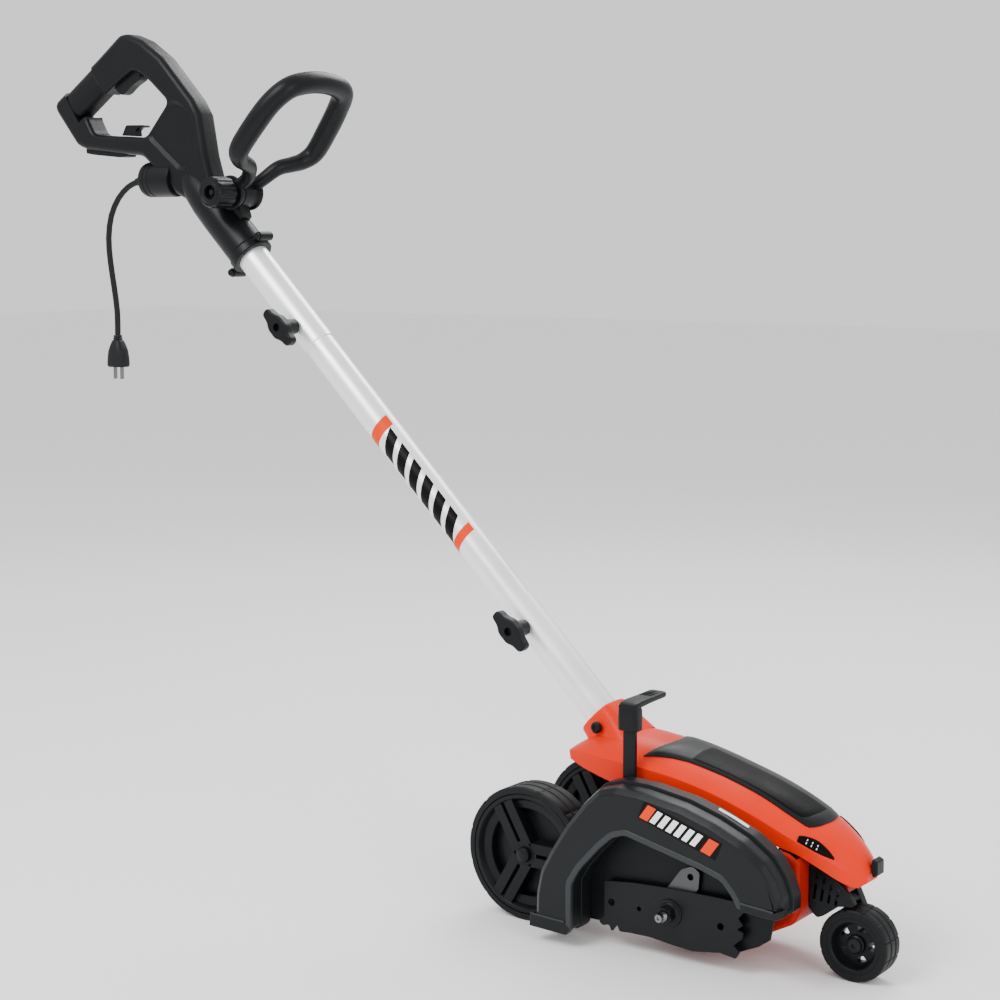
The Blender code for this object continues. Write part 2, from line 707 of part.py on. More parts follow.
def bar_outline(x0, z0, r0, x1, z1, r1):
    """Outline of a bar with round ends about two points."""
    heading = math.degrees(math.atan2(z1 - z0, x1 - x0))
    return arc(x0, z0, r0, heading + 90, heading + 270, 8) + arc(
        x1, z1, r1, heading - 90, heading + 90, 8
    )


def make_carriage():
    """Tube for the rear axle and barrel for the depth shaft, with two arms and a web between them."""
    axle = Vector((0, 0, REAR_RADIUS))
    pivot = Vector((PIVOT_X, 0, PIVOT_Z))
    carrier = rod("axle_carrier", axle + ALONG_Y * -0.0285, axle + ALONG_Y * 0.0985, 0.0125,
                  (BLACK, 0.5))
    bar = bar_outline(0, REAR_RADIUS, 0.0110, PIVOT_X, PIVOT_Z, 0.0118)
    web = bar_outline(0.004, REAR_RADIUS + 0.003, 0.0040, PIVOT_X - 0.004, PIVOT_Z - 0.003, 0.0040)
    joined(
        carrier,
        rod("barrel", pivot + ALONG_Y * -0.0500, pivot + ALONG_Y * 0.0500, 0.0125),
        prism("right_arm", bar, -0.0280, -0.0180),
        prism("left_arm", bar, 0.0380, 0.0480),
        prism("web", web, -0.0200, 0.0400),
    )
    without(
        carrier,
        rod("axle_bore", axle - ALONG_Y * 0.2, axle + ALONG_Y * 0.2, AXLE_RADIUS + GAP),
        rod("pivot_bore", pivot - ALONG_Y * 0.2, pivot + ALONG_Y * 0.2, PIVOT_BORE),
    )
    rod("rear_axle", axle + ALONG_Y * -0.0730, axle + ALONG_Y * 0.1430, AXLE_RADIUS,
        (STEEL, 0.3, 1.0), 20)
    rod("depth_shaft", pivot + ALONG_Y * -0.0795, pivot + ALONG_Y * 0.0625, PIVOT_RADIUS,
        (STEEL, 0.3, 1.0), 20)


LEVER_X = 0.149
LEVER_TOP = 0.284


def make_depth_lever():
    low, high = -0.0785, -0.0735
    crank = bar_outline(PIVOT_X, PIVOT_Z, 0.0125, LEVER_X - 0.002, 0.186, 0.0078)
    stem = [(LEVER_X - 0.008, 0.178), (LEVER_X + 0.008, 0.178), (LEVER_X + 0.008, LEVER_TOP),
            (LEVER_X - 0.008, LEVER_TOP)]
    lever = prism("depth_lever", crank, low, high, (BLACK, 0.45))
    joined(lever, prism("stem", stem, low, high))
    pivot = Vector((PIVOT_X, 0, PIVOT_Z))
    without(lever, rod("bore", pivot - ALONG_Y * 0.1, pivot + ALONG_Y * 0.1, PIVOT_BORE))

    sleeve = block("lever_grip", (LEVER_X - 0.013, -0.0850, 0.256), (LEVER_X + 0.013, -0.0670, 0.289),
                   (BLACK, 0.5))
    paddle = block("paddle", (LEVER_X - 0.012, -0.0840, 0.281), (LEVER_X + 0.012, -0.0130, 0.291))
    bevelled(joined(sleeve, paddle), 0.003)
    pocket = (LEVER_X - 0.0083, low - GAP, 0.20), (LEVER_X + 0.0083, high + GAP, LEVER_TOP + GAP)
    without(sleeve, block("pocket", *pocket))


# ---------------------------------------------------------------- shaft


def make_shaft():
    bore = OUTER_TUBE - TUBE_WALL
    look = (SILVER, 0.3, 0.9)
    lower = pipe("lower_tube", on_shaft(LOWER_END), on_shaft(0), bore, OUTER_TUBE, look, 32)
    pipe("middle_tube", on_shaft(-INSERTION), on_shaft(UPPER_JOINT + INSERTION),
         MIDDLE_TUBE - 0.0012, MIDDLE_TUBE, look, 32)
    upper = pipe("upper_tube", on_shaft(UPPER_JOINT), on_shaft(UPPER_END), bore, OUTER_TUBE, look, 32)
    for tube, station in ((lower, LOWER_KNOB), (upper, UPPER_KNOB)):
        hole = rod("hole", on_shaft(station, 0, -0.03), on_shaft(station), 0.0042, steps=16)
        without(tube, hole)


def shaft_prism(name, outline, station, low, high, look=None):
    """Extrudes an outline given along and above the shaft from one y to another."""
    points = [on_shaft(station + along, above) for along, above in outline]
    return prism(name, [(point.x, point.z) for point in points], low, high, look)


def make_wing_knob(name, bolt_name, station):
    wings = arc(0.0215, 0, 0.0080, -75, 75, 4) + arc(-0.0215, 0, 0.0080, 105, 255, 4)
    knob = shaft_prism(name, wings, station, -0.0580, -0.0440, (BLACK, 0.5))
    bevelled(knob, 0.002, 1)
    centre = on_shaft(station)
    joined(knob, rod("hub", centre + ALONG_Y * -0.0560, centre + ALONG_Y * -0.0230, 0.0100, steps=16))
    without(
        knob,
        rod("recess", centre + ALONG_Y * -0.0700, centre + ALONG_Y * -0.0520, 0.0048, steps=16),
        rod("bolt_bore", centre + ALONG_Y * -0.0480, centre + ALONG_Y * -0.0100, 0.0039, steps=16),
    )
    rod(bolt_name, centre + ALONG_Y * -0.0475, centre + ALONG_Y * -(MIDDLE_TUBE + GAP), 0.0036,
        (STEEL, 0.35, 1.0), 20)


def make_collar():
    collar = pipe("tube_collar", on_shaft(COLLAR - 0.006), on_shaft(COLLAR + 0.006),
                  OUTER_TUBE + GAP, 0.0290, (BLACK, 0.5), 24)
    for name, above in (("collar_bolt_top", 0.0335), ("collar_bolt_bottom", -0.0335)):
        low, high = on_shaft(COLLAR, above, -0.012), on_shaft(COLLAR, above, 0.012)
        joined(collar, rod("boss", low, high, 0.0060, steps=12))
        without(collar, rod("hole", low - ALONG_Y * 0.01, high + ALONG_Y * 0.01, 0.0028, steps=12))
        bolt = [(0, 0), (0.0045, 0), (0.0045, 0.0030), (0.0025, 0.0030), (0.0025, 0.0270), (0, 0.0270)]
        turned(name, bolt, low - ALONG_Y * 0.0033, ALONG_Y, (STEEL, 0.35, 1.0), 12)


# ---------------------------------------------------------------- rear handle


HANDLE_OUTLINE = [
    (-0.704, 1.085), (-0.690, 1.084), (-0.665, 1.075), (-0.629, 1.051), (-0.574, 0.994),
    (-0.561, 0.974), (-0.551, 0.921), (-0.540, 0.886), (-0.552, 0.846), (-0.607, 0.871),
    (-0.655, 0.912), (-0.668, 0.922), (-0.695, 0.924), (-0.772, 0.932), (-0.791, 0.938),
    (-0.828, 0.982), (-0.835, 0.992),
    (-0.829, 1.000), (-0.749, 1.053),
]
HANDLE_OPENING = [
    (-0.728, 1.011), (-0.681, 1.037), (-0.654, 1.023), (-0.617, 0.992), (-0.659, 0.946),
    (-0.757, 0.952), (-0.773, 0.979),
]
HANDLE_HALF = 0.0175
HANDLE_EDGE = 0.0065
HANDLE_SIDE_WALL = 0.0035
GRIP_REGION = -0.735
HOUSING_RADIUS = 0.0270

# Trigger frame: its origin is the trigger's rear corner, and it runs forward along the grip
TRIGGER_ORIGIN = Vector((-0.7215, 0, 1.0135))
TRIGGER_ALONG = Vector((0.875, 0, 0.485)).normalized()
TRIGGER_IN = Vector((-TRIGGER_ALONG.z, 0, TRIGGER_ALONG.x))
TRIGGER_PIVOT = (0.046, 0.002)


def on_trigger(along, inward):
    return TRIGGER_ORIGIN + TRIGGER_ALONG * along + TRIGGER_IN * inward


def trigger_prism(name, outline, half, look=None):
    points = [on_trigger(*point) for point in outline]
    return prism(name, [(point.x, point.z) for point in points], -half, half, look)


def trigger_box(name, low, high, half, look=None):
    outline = [low, (high[0], low[1]), high, (low[0], high[1])]
    return trigger_prism(name, outline, half, look)


# Grip frame: it starts at the top corner of the handle and runs back and down along the grip
GRIP_START = Vector((-0.706, 0, 1.081))
GRIP_ALONG = Vector((-0.826, 0, -0.564)).normalized()
GRIP_IN = Vector((-GRIP_ALONG.z, 0, GRIP_ALONG.x))
GRIP_FROM, GRIP_TO = 0.066, 0.128
GRIP_CENTRE = 0.0205
GRIP_CORE = (0.0142, 0.0172)


def grip_ring(along, half_across, half_in):
    centre = GRIP_START + GRIP_ALONG * along + GRIP_IN * GRIP_CENTRE
    return rounded_square(centre, ALONG_Y, GRIP_IN, half_across, half_in, power=3, steps=24)


def grip_pipe(name, start, end, outer, inner, look=None):
    """A sleeve round the grip, from one distance along it to another; sizes are half sizes."""
    rings = [
        grip_ring(start, *outer), grip_ring(end, *outer), grip_ring(end, *inner),
        grip_ring(start, *inner),
    ]
    return finished(name, rings_to_bmesh(rings, closed_loop=True), look)


INLET_START = Vector((-0.614, 0, 0.890))
INLET_END = Vector((-0.671, 0, 0.890))
INLET_RADIUS = 0.0235


def handle_hollow(half):
    """The room inside the handle's walls, with a given half width."""
    room = prism("hollow", inset(HANDLE_OUTLINE, HANDLE_EDGE), -half, half)
    opening = inset(HANDLE_OPENING, -HANDLE_EDGE)
    return without(room, prism("opening", opening, -0.05, 0.05))


def make_handle_shell(name, side):
    """One half of the rear handle: side is -1 for the right half and 1 for the left one."""
    shell = prism(name, HANDLE_OUTLINE, -HANDLE_HALF, HANDLE_HALF, (BLACK, 0.5))
    bevelled(shell, 0.006)
    barrel = [
        (0, COLLAR + 0.0063), (HOUSING_RADIUS, COLLAR + 0.0063), (HOUSING_RADIUS, 0.690),
        (0.0190, 0.748), (0, 0.752),
    ]
    joined(shell, turned("barrel", barrel, on_shaft(0), SHAFT, None, 28))
    low, high = sorted((side * GAP / 2, side * -0.05))
    narrow_room = handle_hollow(GRIP_CORE[0] - HANDLE_SIDE_WALL)
    wide_room = handle_hollow(HANDLE_HALF - HANDLE_SIDE_WALL)
    without(wide_room, block("grip_region", (-0.9, -0.05, 0.8), (GRIP_REGION, 0.05, 1.2)))
    without(
        shell,
        block("other_side", (-0.9, low, 0.7), (-0.4, high, 1.2)),
        prism("opening", HANDLE_OPENING, -0.06, 0.06),
        shaft_rod("tube_room", 0.55, UPPER_END + GAP, OUTER_TUBE + GAP, steps=28),
        shaft_rod("wire_room", 0.60, 0.738, 0.0165),
        rod("inlet_room", INLET_START + ALONG_X * 0.0003, INLET_END - ALONG_X * 0.03,
            INLET_RADIUS + GAP),
        trigger_box("trigger_room", (-0.0016, -0.010), (0.0524, 0.0160), 0.0093),
        trigger_box("switch_room", (0.0040, 0.0100), (0.0360, 0.0270), 0.0093),
        grip_pipe("sleeve_room", GRIP_FROM, GRIP_TO, (0.03, 0.03), GRIP_CORE),
        narrow_room,
        wide_room,
    )


def make_grip():
    inner = [half + GAP for half in GRIP_CORE]
    grip_pipe("grip_overmould", GRIP_FROM + GAP, GRIP_TO - GAP, (0.0178, 0.0212), inner,
              (RUBBER_BLACK, 0.75))


def make_trigger():
    outline = [
        (0.0000, 0.0060), (0.0000, -0.0040), (0.0050, -0.0130), (0.0110, -0.0145),
        (0.0450, -0.0135), (0.0500, -0.0100), (0.0500, 0.0060),
    ]
    bevelled(trigger_prism("trigger", outline, 0.0088, (BLACK, 0.45)), 0.0015)
    trigger_box("power_switch", (0.0044, 0.0150), (0.0356, 0.0266), 0.0088, (BLACK, 0.6))


def make_cord_hook():
    outline = [
        (-0.7130, 0.9500), (-0.7050, 0.9640), (-0.6720, 0.9632), (-0.6710, 0.9606),
        (-0.6830, 0.9600), (-0.6875, 0.9560), (-0.6862, 0.9484),
    ]
    bevelled(prism("cord_hook", outline, -0.008, 0.008, (BLACK, 0.5)), 0.0008)


def make_cord_inlet():
    profile = [(0.0046, 0), (INLET_RADIUS - 0.003, 0), (INLET_RADIUS, 0.003), (INLET_RADIUS, 0.052),
               (INLET_RADIUS - 0.005, 0.0565), (0.0046, 0.0565)]
    turned("cord_inlet", profile, INLET_START, -ALONG_X, (BLACK, 0.45), 24)


# ---------------------------------------------------------------- cord and plug

CORD_EXIT = INLET_END + Vector((-0.0005, 0, 0))
CORD_ROUTE = [
    (-0.6930, 0.0000, 0.8870), (-0.7080, -0.0010, 0.8810), (-0.7250, -0.0030, 0.8660),
    (-0.7380, -0.0050, 0.8420), (-0.7430, -0.0060, 0.8120), (-0.7420, -0.0050, 0.7800),
    (-0.7390, -0.0020, 0.7450), (-0.7370, 0.0010, 0.7100), (-0.7380, 0.0020, 0.6780),
]


def make_cord():
    relief_path = [CORD_EXIT, CORD_EXIT + Vector((-0.010, 0, -0.0004)), Vector((-0.6926, 0, 0.8872))]
    swept("strain_relief", relief_path, [0.0090, 0.0070, 0.0052], (RUBBER_BLACK, 0.6), 16)
    curve = bpy.data.curves.new("power_cord", "CURVE")
    curve.dimensions = "3D"
    points = smooth_path(CORD_ROUTE, 2)
    spline = curve.splines.new("POLY")
    spline.points.add(len(points) - 1)
    for slot, point in zip(spline.points, points):
        slot.co = (*point, 1)
    curve.bevel_depth = CORD_DIAMETER / 2
    curve.bevel_resolution = 2
    curve.use_fill_caps = True
    curve.materials.append(material("power_cord", RUBBER_BLACK, 0.6))
    cord = bpy.data.objects.new("power_cord", curve)
    bpy.context.scene.collection.objects.link(cord)
    cord.parent = machine


def make_plug():
    """Moulded plug on the cord's end, with its two flat blades pointing down."""
    end = Vector(CORD_ROUTE[-1]) - ALONG_Z * 0.0004
    rings = []
    for drop, half_x, half_y in (
        (0.000, 0.0055, 0.0055), (0.010, 0.0085, 0.0080), (0.022, 0.0135, 0.0110),
        (0.040, 0.0150, 0.0125), (0.044, 0.0140, 0.0115),
    ):
        rings.append(rounded_square(end - ALONG_Z * drop, ALONG_X, ALONG_Y, half_x, half_y, 3, 16))
    plug = lofted("plug", rings, (BLACK, 0.5))
    for x in (-0.0064, 0.0064):
        low = end + Vector((x - 0.0008, -0.0032, -0.061))
        high = end + Vector((x + 0.0008, 0.0032, -0.040))
        joined(plug, block("blade", low, high))


# ---------------------------------------------------------------- assist handle


def make_assist_bracket():
    """Saddle over the handle's barrel, with a lug for the assist handle's pivot bolt."""
    saddle = shaft_prism(
        "assist_bracket",
        [(-0.030, 0.0050), (-0.030, 0.0310), (-0.0160, 0.0380), (0.0160, 0.0380), (0.0200, 0.0310),
         (0.0200, 0.0050)],
        0.668, -0.0095, 0.0095, (BLACK, 0.5),
    )
    joined(saddle, prism("lug", arc(ASSIST_X, ASSIST_Z, 0.0195, 0, 337.5, 15), -0.0095, 0.0095))
    centre = Vector((ASSIST_X, 0, ASSIST_Z))
    without(
        saddle,
        shaft_rod("barrel_room", 0.55, 0.75, HOUSING_RADIUS + GAP, steps=32),
        rod("bolt_hole", centre - ALONG_Y * 0.05, centre + ALONG_Y * 0.05, 0.0044, steps=20),
    )


# One side of the assist handle: x and z from its pivot, y from the middle, and tube radius
ASSIST_SIDE = [
    (0.008, 0.0150, 0.006, 0.0060), (0.028, 0.0150, 0.019, 0.0068), (0.042, 0.0280, 0.032, 0.0092),
    (0.050, 0.0460, 0.037, 0.0096), (0.056, 0.0640, 0.042, 0.0110), (0.068, 0.0745, 0.054, 0.0130),
    (0.090, 0.0720, 0.082, 0.0133), (0.112, 0.0665, 0.108, 0.0133), (0.130, 0.0550, 0.126, 0.0133),
    (0.137, 0.0330, 0.134, 0.0133),
]


def make_assist_handle():
    far = [(x, y, z, r) for x, y, z, r in ASSIST_SIDE]
    top = [(0.139, 0.0, 0.137, 0.0133)]
    near = [(x, -y, z, r) for x, y, z, r in reversed(ASSIST_SIDE)]
    stations = far + top + near
    pivot = Vector((ASSIST_X, 0, ASSIST_Z))
    path = [pivot + Vector(point[:3]) for point in stations]
    handle = swept("assist_handle", path, [point[3] for point in stations], (BLACK, 0.45), 12)
    for side in (-1, 1):
        ends = pivot + ALONG_Y * side * 0.0100, pivot + ALONG_Y * side * 0.0215
        joined(handle, rod("ear", *ends, 0.0190, steps=20))
    without(
        handle,
        rod("bolt_hole", pivot - ALONG_Y * 0.05, pivot + ALONG_Y * 0.05, 0.0044, steps=20),
        rod("lug_room", pivot - ALONG_Y * 0.0100, pivot + ALONG_Y * 0.0100, 0.0262, steps=20),
    )


def make_assist_knob():
    pivot = Vector((ASSIST_X, 0, ASSIST_Z))
    profile = [
        (0.0044, -0.0220), (0.0180, -0.0220), (0.0195, -0.0250), (0.0205, -0.0320),
        (0.0205, -0.0560), (0.0180, -0.0600), (0.0088, -0.0600), (0.0088, -0.0500),
        (0.0044, -0.0500),
    ]
    turned("assist_knob", profile, pivot, ALONG_Y, (BLACK, 0.5))
    bolt = [(0, -0.0560), (0.0040, -0.0560), (0.0040, 0.0220), (0.0090, 0.0220), (0.0090, 0.0270),
            (0, 0.0270)]
    turned("assist_bolt", bolt, pivot, ALONG_Y, (STEEL, 0.35, 1.0), 20)


# ---------------------------------------------------------------- the machine


def moving_bodies():
    """Each moving body's place on its joint's axis, with the names of its pieces."""
    depth_pivot = Vector((PIVOT_X, 0, PIVOT_Z))
    front_centre = Vector((FRONT_X, FRONT_Y, FRONT_RADIUS))
    lock_centre = SPINDLE + Vector((0.024, -0.088, 0.045))
    yield SPINDLE, ["armature", "cooling_fan", "bevel_pinion"]
    yield SPINDLE, ["spindle", "bevel_gear", "inner_flange", "edger_blade", "outer_flange", "blade_nut"]
    yield lock_centre, ["spindle_lock_plate"]
    yield front_centre, ["front_wheel", "front_tyre"]
    yield depth_pivot, ["axle_carrier", "depth_shaft", "depth_lever", "lever_grip", "rear_axle",
                        "hub_cap_left", "hub_cap_right"]
    for side, y in (("right", REAR_NEAR_Y), ("left", REAR_FAR_Y)):
        yield Vector((0, y, REAR_RADIUS)), ["rear_wheel_" + side, "rear_tyre_" + side]
    yield on_shaft(0), ["middle_tube"]
    yield on_shaft(LOWER_KNOB), ["lower_wing_knob", "lower_knob_bolt"]
    yield on_shaft(UPPER_KNOB), ["upper_wing_knob", "upper_knob_bolt"]
    yield on_shaft(UPPER_JOINT), ["upper_tube", "tube_collar", "collar_bolt_top", "collar_bolt_bottom",
                                  "handle_shell_left", "handle_shell_right", "grip_overmould",
                                  "cord_hook", "cord_inlet", "assist_bracket", "power_switch"]
    yield on_trigger(*TRIGGER_PIVOT), ["trigger"]
    yield Vector((ASSIST_X, 0, ASSIST_Z)), ["assist_handle", "assist_knob", "assist_bolt"]


def place_origins():
    """Sets the origin of each moving piece on its joint's axis."""
    for place, names in moving_bodies():
        for name in names:
            piece = bpy.data.objects[name]
            piece.data.transform(Matrix.Translation(-place))
            piece.location = place


def rest_on_origin():
    """Moves the machine so that the origin is under the middle of its box, cord and plug left out."""
    bpy.context.view_layer.update()
    graph = bpy.context.evaluated_depsgraph_get()
    low, high = Vector((9, 9, 9)), Vector((-9, -9, -9))
    for obj in machine.children:
        if obj.name in ("power_cord", "plug", "strain_relief"):
            continue
        for vertex in obj.evaluated_get(graph).to_mesh().vertices:
            point = obj.matrix_world @ vertex.co
            for i in range(3):
                low[i] = min(low[i], point[i])
                high[i] = max(high[i], point[i])
        obj.evaluated_get(graph).to_mesh_clear()
    machine.location = (-(low.x + high.x) / 2, -(low.y + high.y) / 2, -low.z)
    bpy.context.view_layer.update()


def main():
    make_hood()
    make_socket_bolt()
    make_lower_housing()
    make_inlay()
    make_vents()
    make_nose_tab()
    make_guard()
    make_inner_guard()
    make_gearbox()
    make_spindle()
    make_blade()
    make_lock_plate()
    make_motor()
    make_rear_wheel("rear_wheel_right", "rear_tyre_right", "hub_cap_right", REAR_NEAR_Y, -1)
    make_rear_wheel("rear_wheel_left", "rear_tyre_left", "hub_cap_left", REAR_FAR_Y, 1)
    make_front_wheel()
    make_front_arm()
    make_carriage()
    make_depth_lever()
    make_shaft()
    make_wing_knob("lower_wing_knob", "lower_knob_bolt", LOWER_KNOB)
    make_wing_knob("upper_wing_knob", "upper_knob_bolt", UPPER_KNOB)
    make_collar()
    make_handle_shell("handle_shell_right", -1)
    make_handle_shell("handle_shell_left", 1)
    make_grip()
    make_trigger()
    make_cord_hook()
    make_cord_inlet()
    make_cord()
    make_plug()
    make_assist_bracket()
    make_assist_handle()
    make_assist_knob()
    place_origins()
    rest_on_origin()


main()
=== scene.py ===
import json
import math

import bmesh
import bpy
from mathutils import Matrix, Vector

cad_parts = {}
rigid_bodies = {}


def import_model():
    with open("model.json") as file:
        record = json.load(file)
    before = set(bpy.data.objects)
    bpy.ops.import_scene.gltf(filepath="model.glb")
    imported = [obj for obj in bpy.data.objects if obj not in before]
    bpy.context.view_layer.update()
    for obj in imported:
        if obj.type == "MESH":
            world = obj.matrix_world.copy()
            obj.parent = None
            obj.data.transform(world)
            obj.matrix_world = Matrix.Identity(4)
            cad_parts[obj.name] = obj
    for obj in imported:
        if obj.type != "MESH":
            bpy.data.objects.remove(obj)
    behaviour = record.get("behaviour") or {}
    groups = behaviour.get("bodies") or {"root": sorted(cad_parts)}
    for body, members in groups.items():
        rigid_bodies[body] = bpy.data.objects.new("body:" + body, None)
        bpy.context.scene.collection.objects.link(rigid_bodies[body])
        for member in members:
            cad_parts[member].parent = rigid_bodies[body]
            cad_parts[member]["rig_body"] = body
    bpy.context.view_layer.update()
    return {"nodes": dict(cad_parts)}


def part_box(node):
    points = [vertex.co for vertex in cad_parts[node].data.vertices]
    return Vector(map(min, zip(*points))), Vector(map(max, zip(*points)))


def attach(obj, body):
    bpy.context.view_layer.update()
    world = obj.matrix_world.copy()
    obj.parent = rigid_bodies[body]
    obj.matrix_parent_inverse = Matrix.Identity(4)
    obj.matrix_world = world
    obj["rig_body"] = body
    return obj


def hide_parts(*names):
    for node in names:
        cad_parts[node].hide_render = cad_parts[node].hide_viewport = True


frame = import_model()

# Everything below is laid out, in metres, from a point on the floor under the rear axle, in the plane of
# the shaft: X forward, Y to the user's left, Z up. ORIGIN is that point in the frame.
AXLE_HEIGHT = 0.082
AXLE_MIDDLE_Y = 0.035
axle_low, axle_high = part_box("rear_axle")
axle = (axle_low + axle_high) / 2
ORIGIN = Vector((axle.x, axle.y - AXLE_MIDDLE_Y, axle.z - AXLE_HEIGHT))

ALONG_X = Vector((1, 0, 0))
ALONG_Y = Vector((0, 1, 0))
ALONG_Z = Vector((0, 0, 1))

# Shaft
SHAFT_TILT = math.radians(44.5)
SHAFT = Vector((-math.cos(SHAFT_TILT), 0, math.sin(SHAFT_TILT)))
SHAFT_TOP = Vector((math.sin(SHAFT_TILT), 0, math.cos(SHAFT_TILT)))
SHAFT_START = Vector((-0.059, 0, 0.3704))
OUTER_TUBE = 0.021
MIDDLE_TUBE = 0.0197
SOCKET_MOUTH = -0.172
UPPER_JOINT = 0.436
COLLAR = 0.6
LOWER_KNOB = -0.034
UPPER_KNOB = 0.47

CUT, JOIN, KEEP_COMMON = "DIFFERENCE", "UNION", "INTERSECT"

SPINDLE = Vector((0.214, 0, 0.057))
AXLE_BORE = 0.0053
REAR_RADIUS = 0.082
FRONT_RADIUS = 0.041
FRONT_WHEEL = Vector((0.413, 0, FRONT_RADIUS))
# The axis that the depth carriage swings on
PIVOT = Vector((0.11, 0, 0.15))
ASSIST = Vector((-0.504, 0, 0.871))


def mm(*points):
    """Points given in millimetres, as metres."""
    return [tuple(value / 1000 for value in point) for point in points]


def on_shaft(station, above=0.0, left=0.0):
    return SHAFT_START + SHAFT * station + SHAFT_TOP * above + ALONG_Y * left


def linked(name, data):
    obj = bpy.data.objects.new(name, data)
    bpy.context.scene.collection.objects.link(obj)
    return obj


# ---- camera, light and floor


def set_camera():
    data = bpy.data.cameras.new("camera")
    data.lens = 75.1
    data.sensor_width = 36
    camera = linked("camera", data)
    camera.location = ORIGIN + Vector((1.3698, -2.0686, 0.8263))
    sight = Vector((-0.57084, 0.81076, -0.12966))
    camera.rotation_euler = sight.to_track_quat("-Z", "Y").to_euler()
    bpy.context.scene.camera = camera


def add_area_light(name, place, target, size, power):
    data = bpy.data.lights.new(name, "AREA")
    data.shape = "RECTANGLE"
    data.size, data.size_y = size
    data.energy = power
    light = linked(name, data)
    light.location = ORIGIN + Vector(place)
    aim = Vector(target) - Vector(place)
    light.rotation_euler = aim.to_track_quat("-Z", "Y").to_euler()


def set_light():
    add_area_light("key", (-0.6, -2.2, 2.6), (0, 0, 0.4), (1.4, 1.4), 75)
    add_area_light("fill", (2.4, -1.0, 1.2), (0, 0, 0.4), (1.4, 1.8), 26)
    add_area_light("rim", (-0.4, 1.9, 2.4), (0, 0, 0.5), (1.8, 1.0), 45)
    world = bpy.data.worlds.new("studio")
    bpy.context.scene.world = world
    world.use_nodes = True
    background = world.node_tree.nodes["Background"]
    background.inputs["Color"].default_value = (1.0, 1.0, 1.0, 1.0)
    background.inputs["Strength"].default_value = 1.1


def add_floor():
    bm = bmesh.new()
    bmesh.ops.create_grid(bm, x_segments=1, y_segments=1, size=14)
    mesh = bpy.data.meshes.new("floor")
    bm.to_mesh(mesh)
    bm.free()
    floor = linked("floor", mesh)
    made = bpy.data.materials.new("floor")
    made.use_nodes = True
    shader = made.node_tree.nodes["Principled BSDF"]
    shader.inputs["Base Color"].default_value = (0.93, 0.93, 0.93, 1)
    shader.inputs["Roughness"].default_value = 0.85
    mesh.materials.append(made)


# ---- materials


def look(name, colour, roughness, metallic=0.0, grain=(700, 0.12), tint=0.1, shine=0.5, stretch=None):
    """A material whose colour, gloss and fine grain all vary over the surface."""
    made = bpy.data.materials.new(name)
    made.use_nodes = True
    nodes, links = made.node_tree.nodes, made.node_tree.links
    shader = nodes["Principled BSDF"]
    shader.inputs["Metallic"].default_value = metallic
    shader.inputs["Specular IOR Level"].default_value = shine

    def node(kind, **values):
        new = nodes.new("ShaderNode" + kind)
        for key, value in values.items():
            new.inputs[key.replace("_", " ")].default_value = value
        return new

    place = node("TexCoord").outputs["Object"]
    if stretch:
        mapping = node("Mapping", Rotation=stretch[0], Scale=stretch[1])
        links.new(place, mapping.inputs["Vector"])
        place = mapping.outputs["Vector"]
    broad = node("TexNoise", Scale=22, Detail=5)
    fine = node("TexNoise", Scale=grain[0], Detail=4)
    for noise in (broad, fine):
        links.new(place, noise.inputs["Vector"])
    mix = nodes.new("ShaderNodeMix")
    mix.data_type = "RGBA"
    mix.inputs["A"].default_value = (*[c * (1 - tint) for c in colour], 1)
    mix.inputs["B"].default_value = (*[c * (1 + tint) for c in colour], 1)
    links.new(broad.outputs["Fac"], mix.inputs["Factor"])
    links.new(mix.outputs["Result"], shader.inputs["Base Color"])
    smooth = max(roughness - 0.06, 0.05)
    gloss = node("MapRange", From_Min=0.3, From_Max=0.7, To_Min=smooth, To_Max=roughness + 0.07)
    links.new(broad.outputs["Fac"], gloss.inputs["Value"])
    links.new(gloss.outputs["Result"], shader.inputs["Roughness"])
    bump = node("Bump", Strength=grain[1], Distance=0.0006)
    links.new(fine.outputs["Fac"], bump.inputs["Height"])
    links.new(bump.outputs["Normal"], shader.inputs["Normal"])
    return made


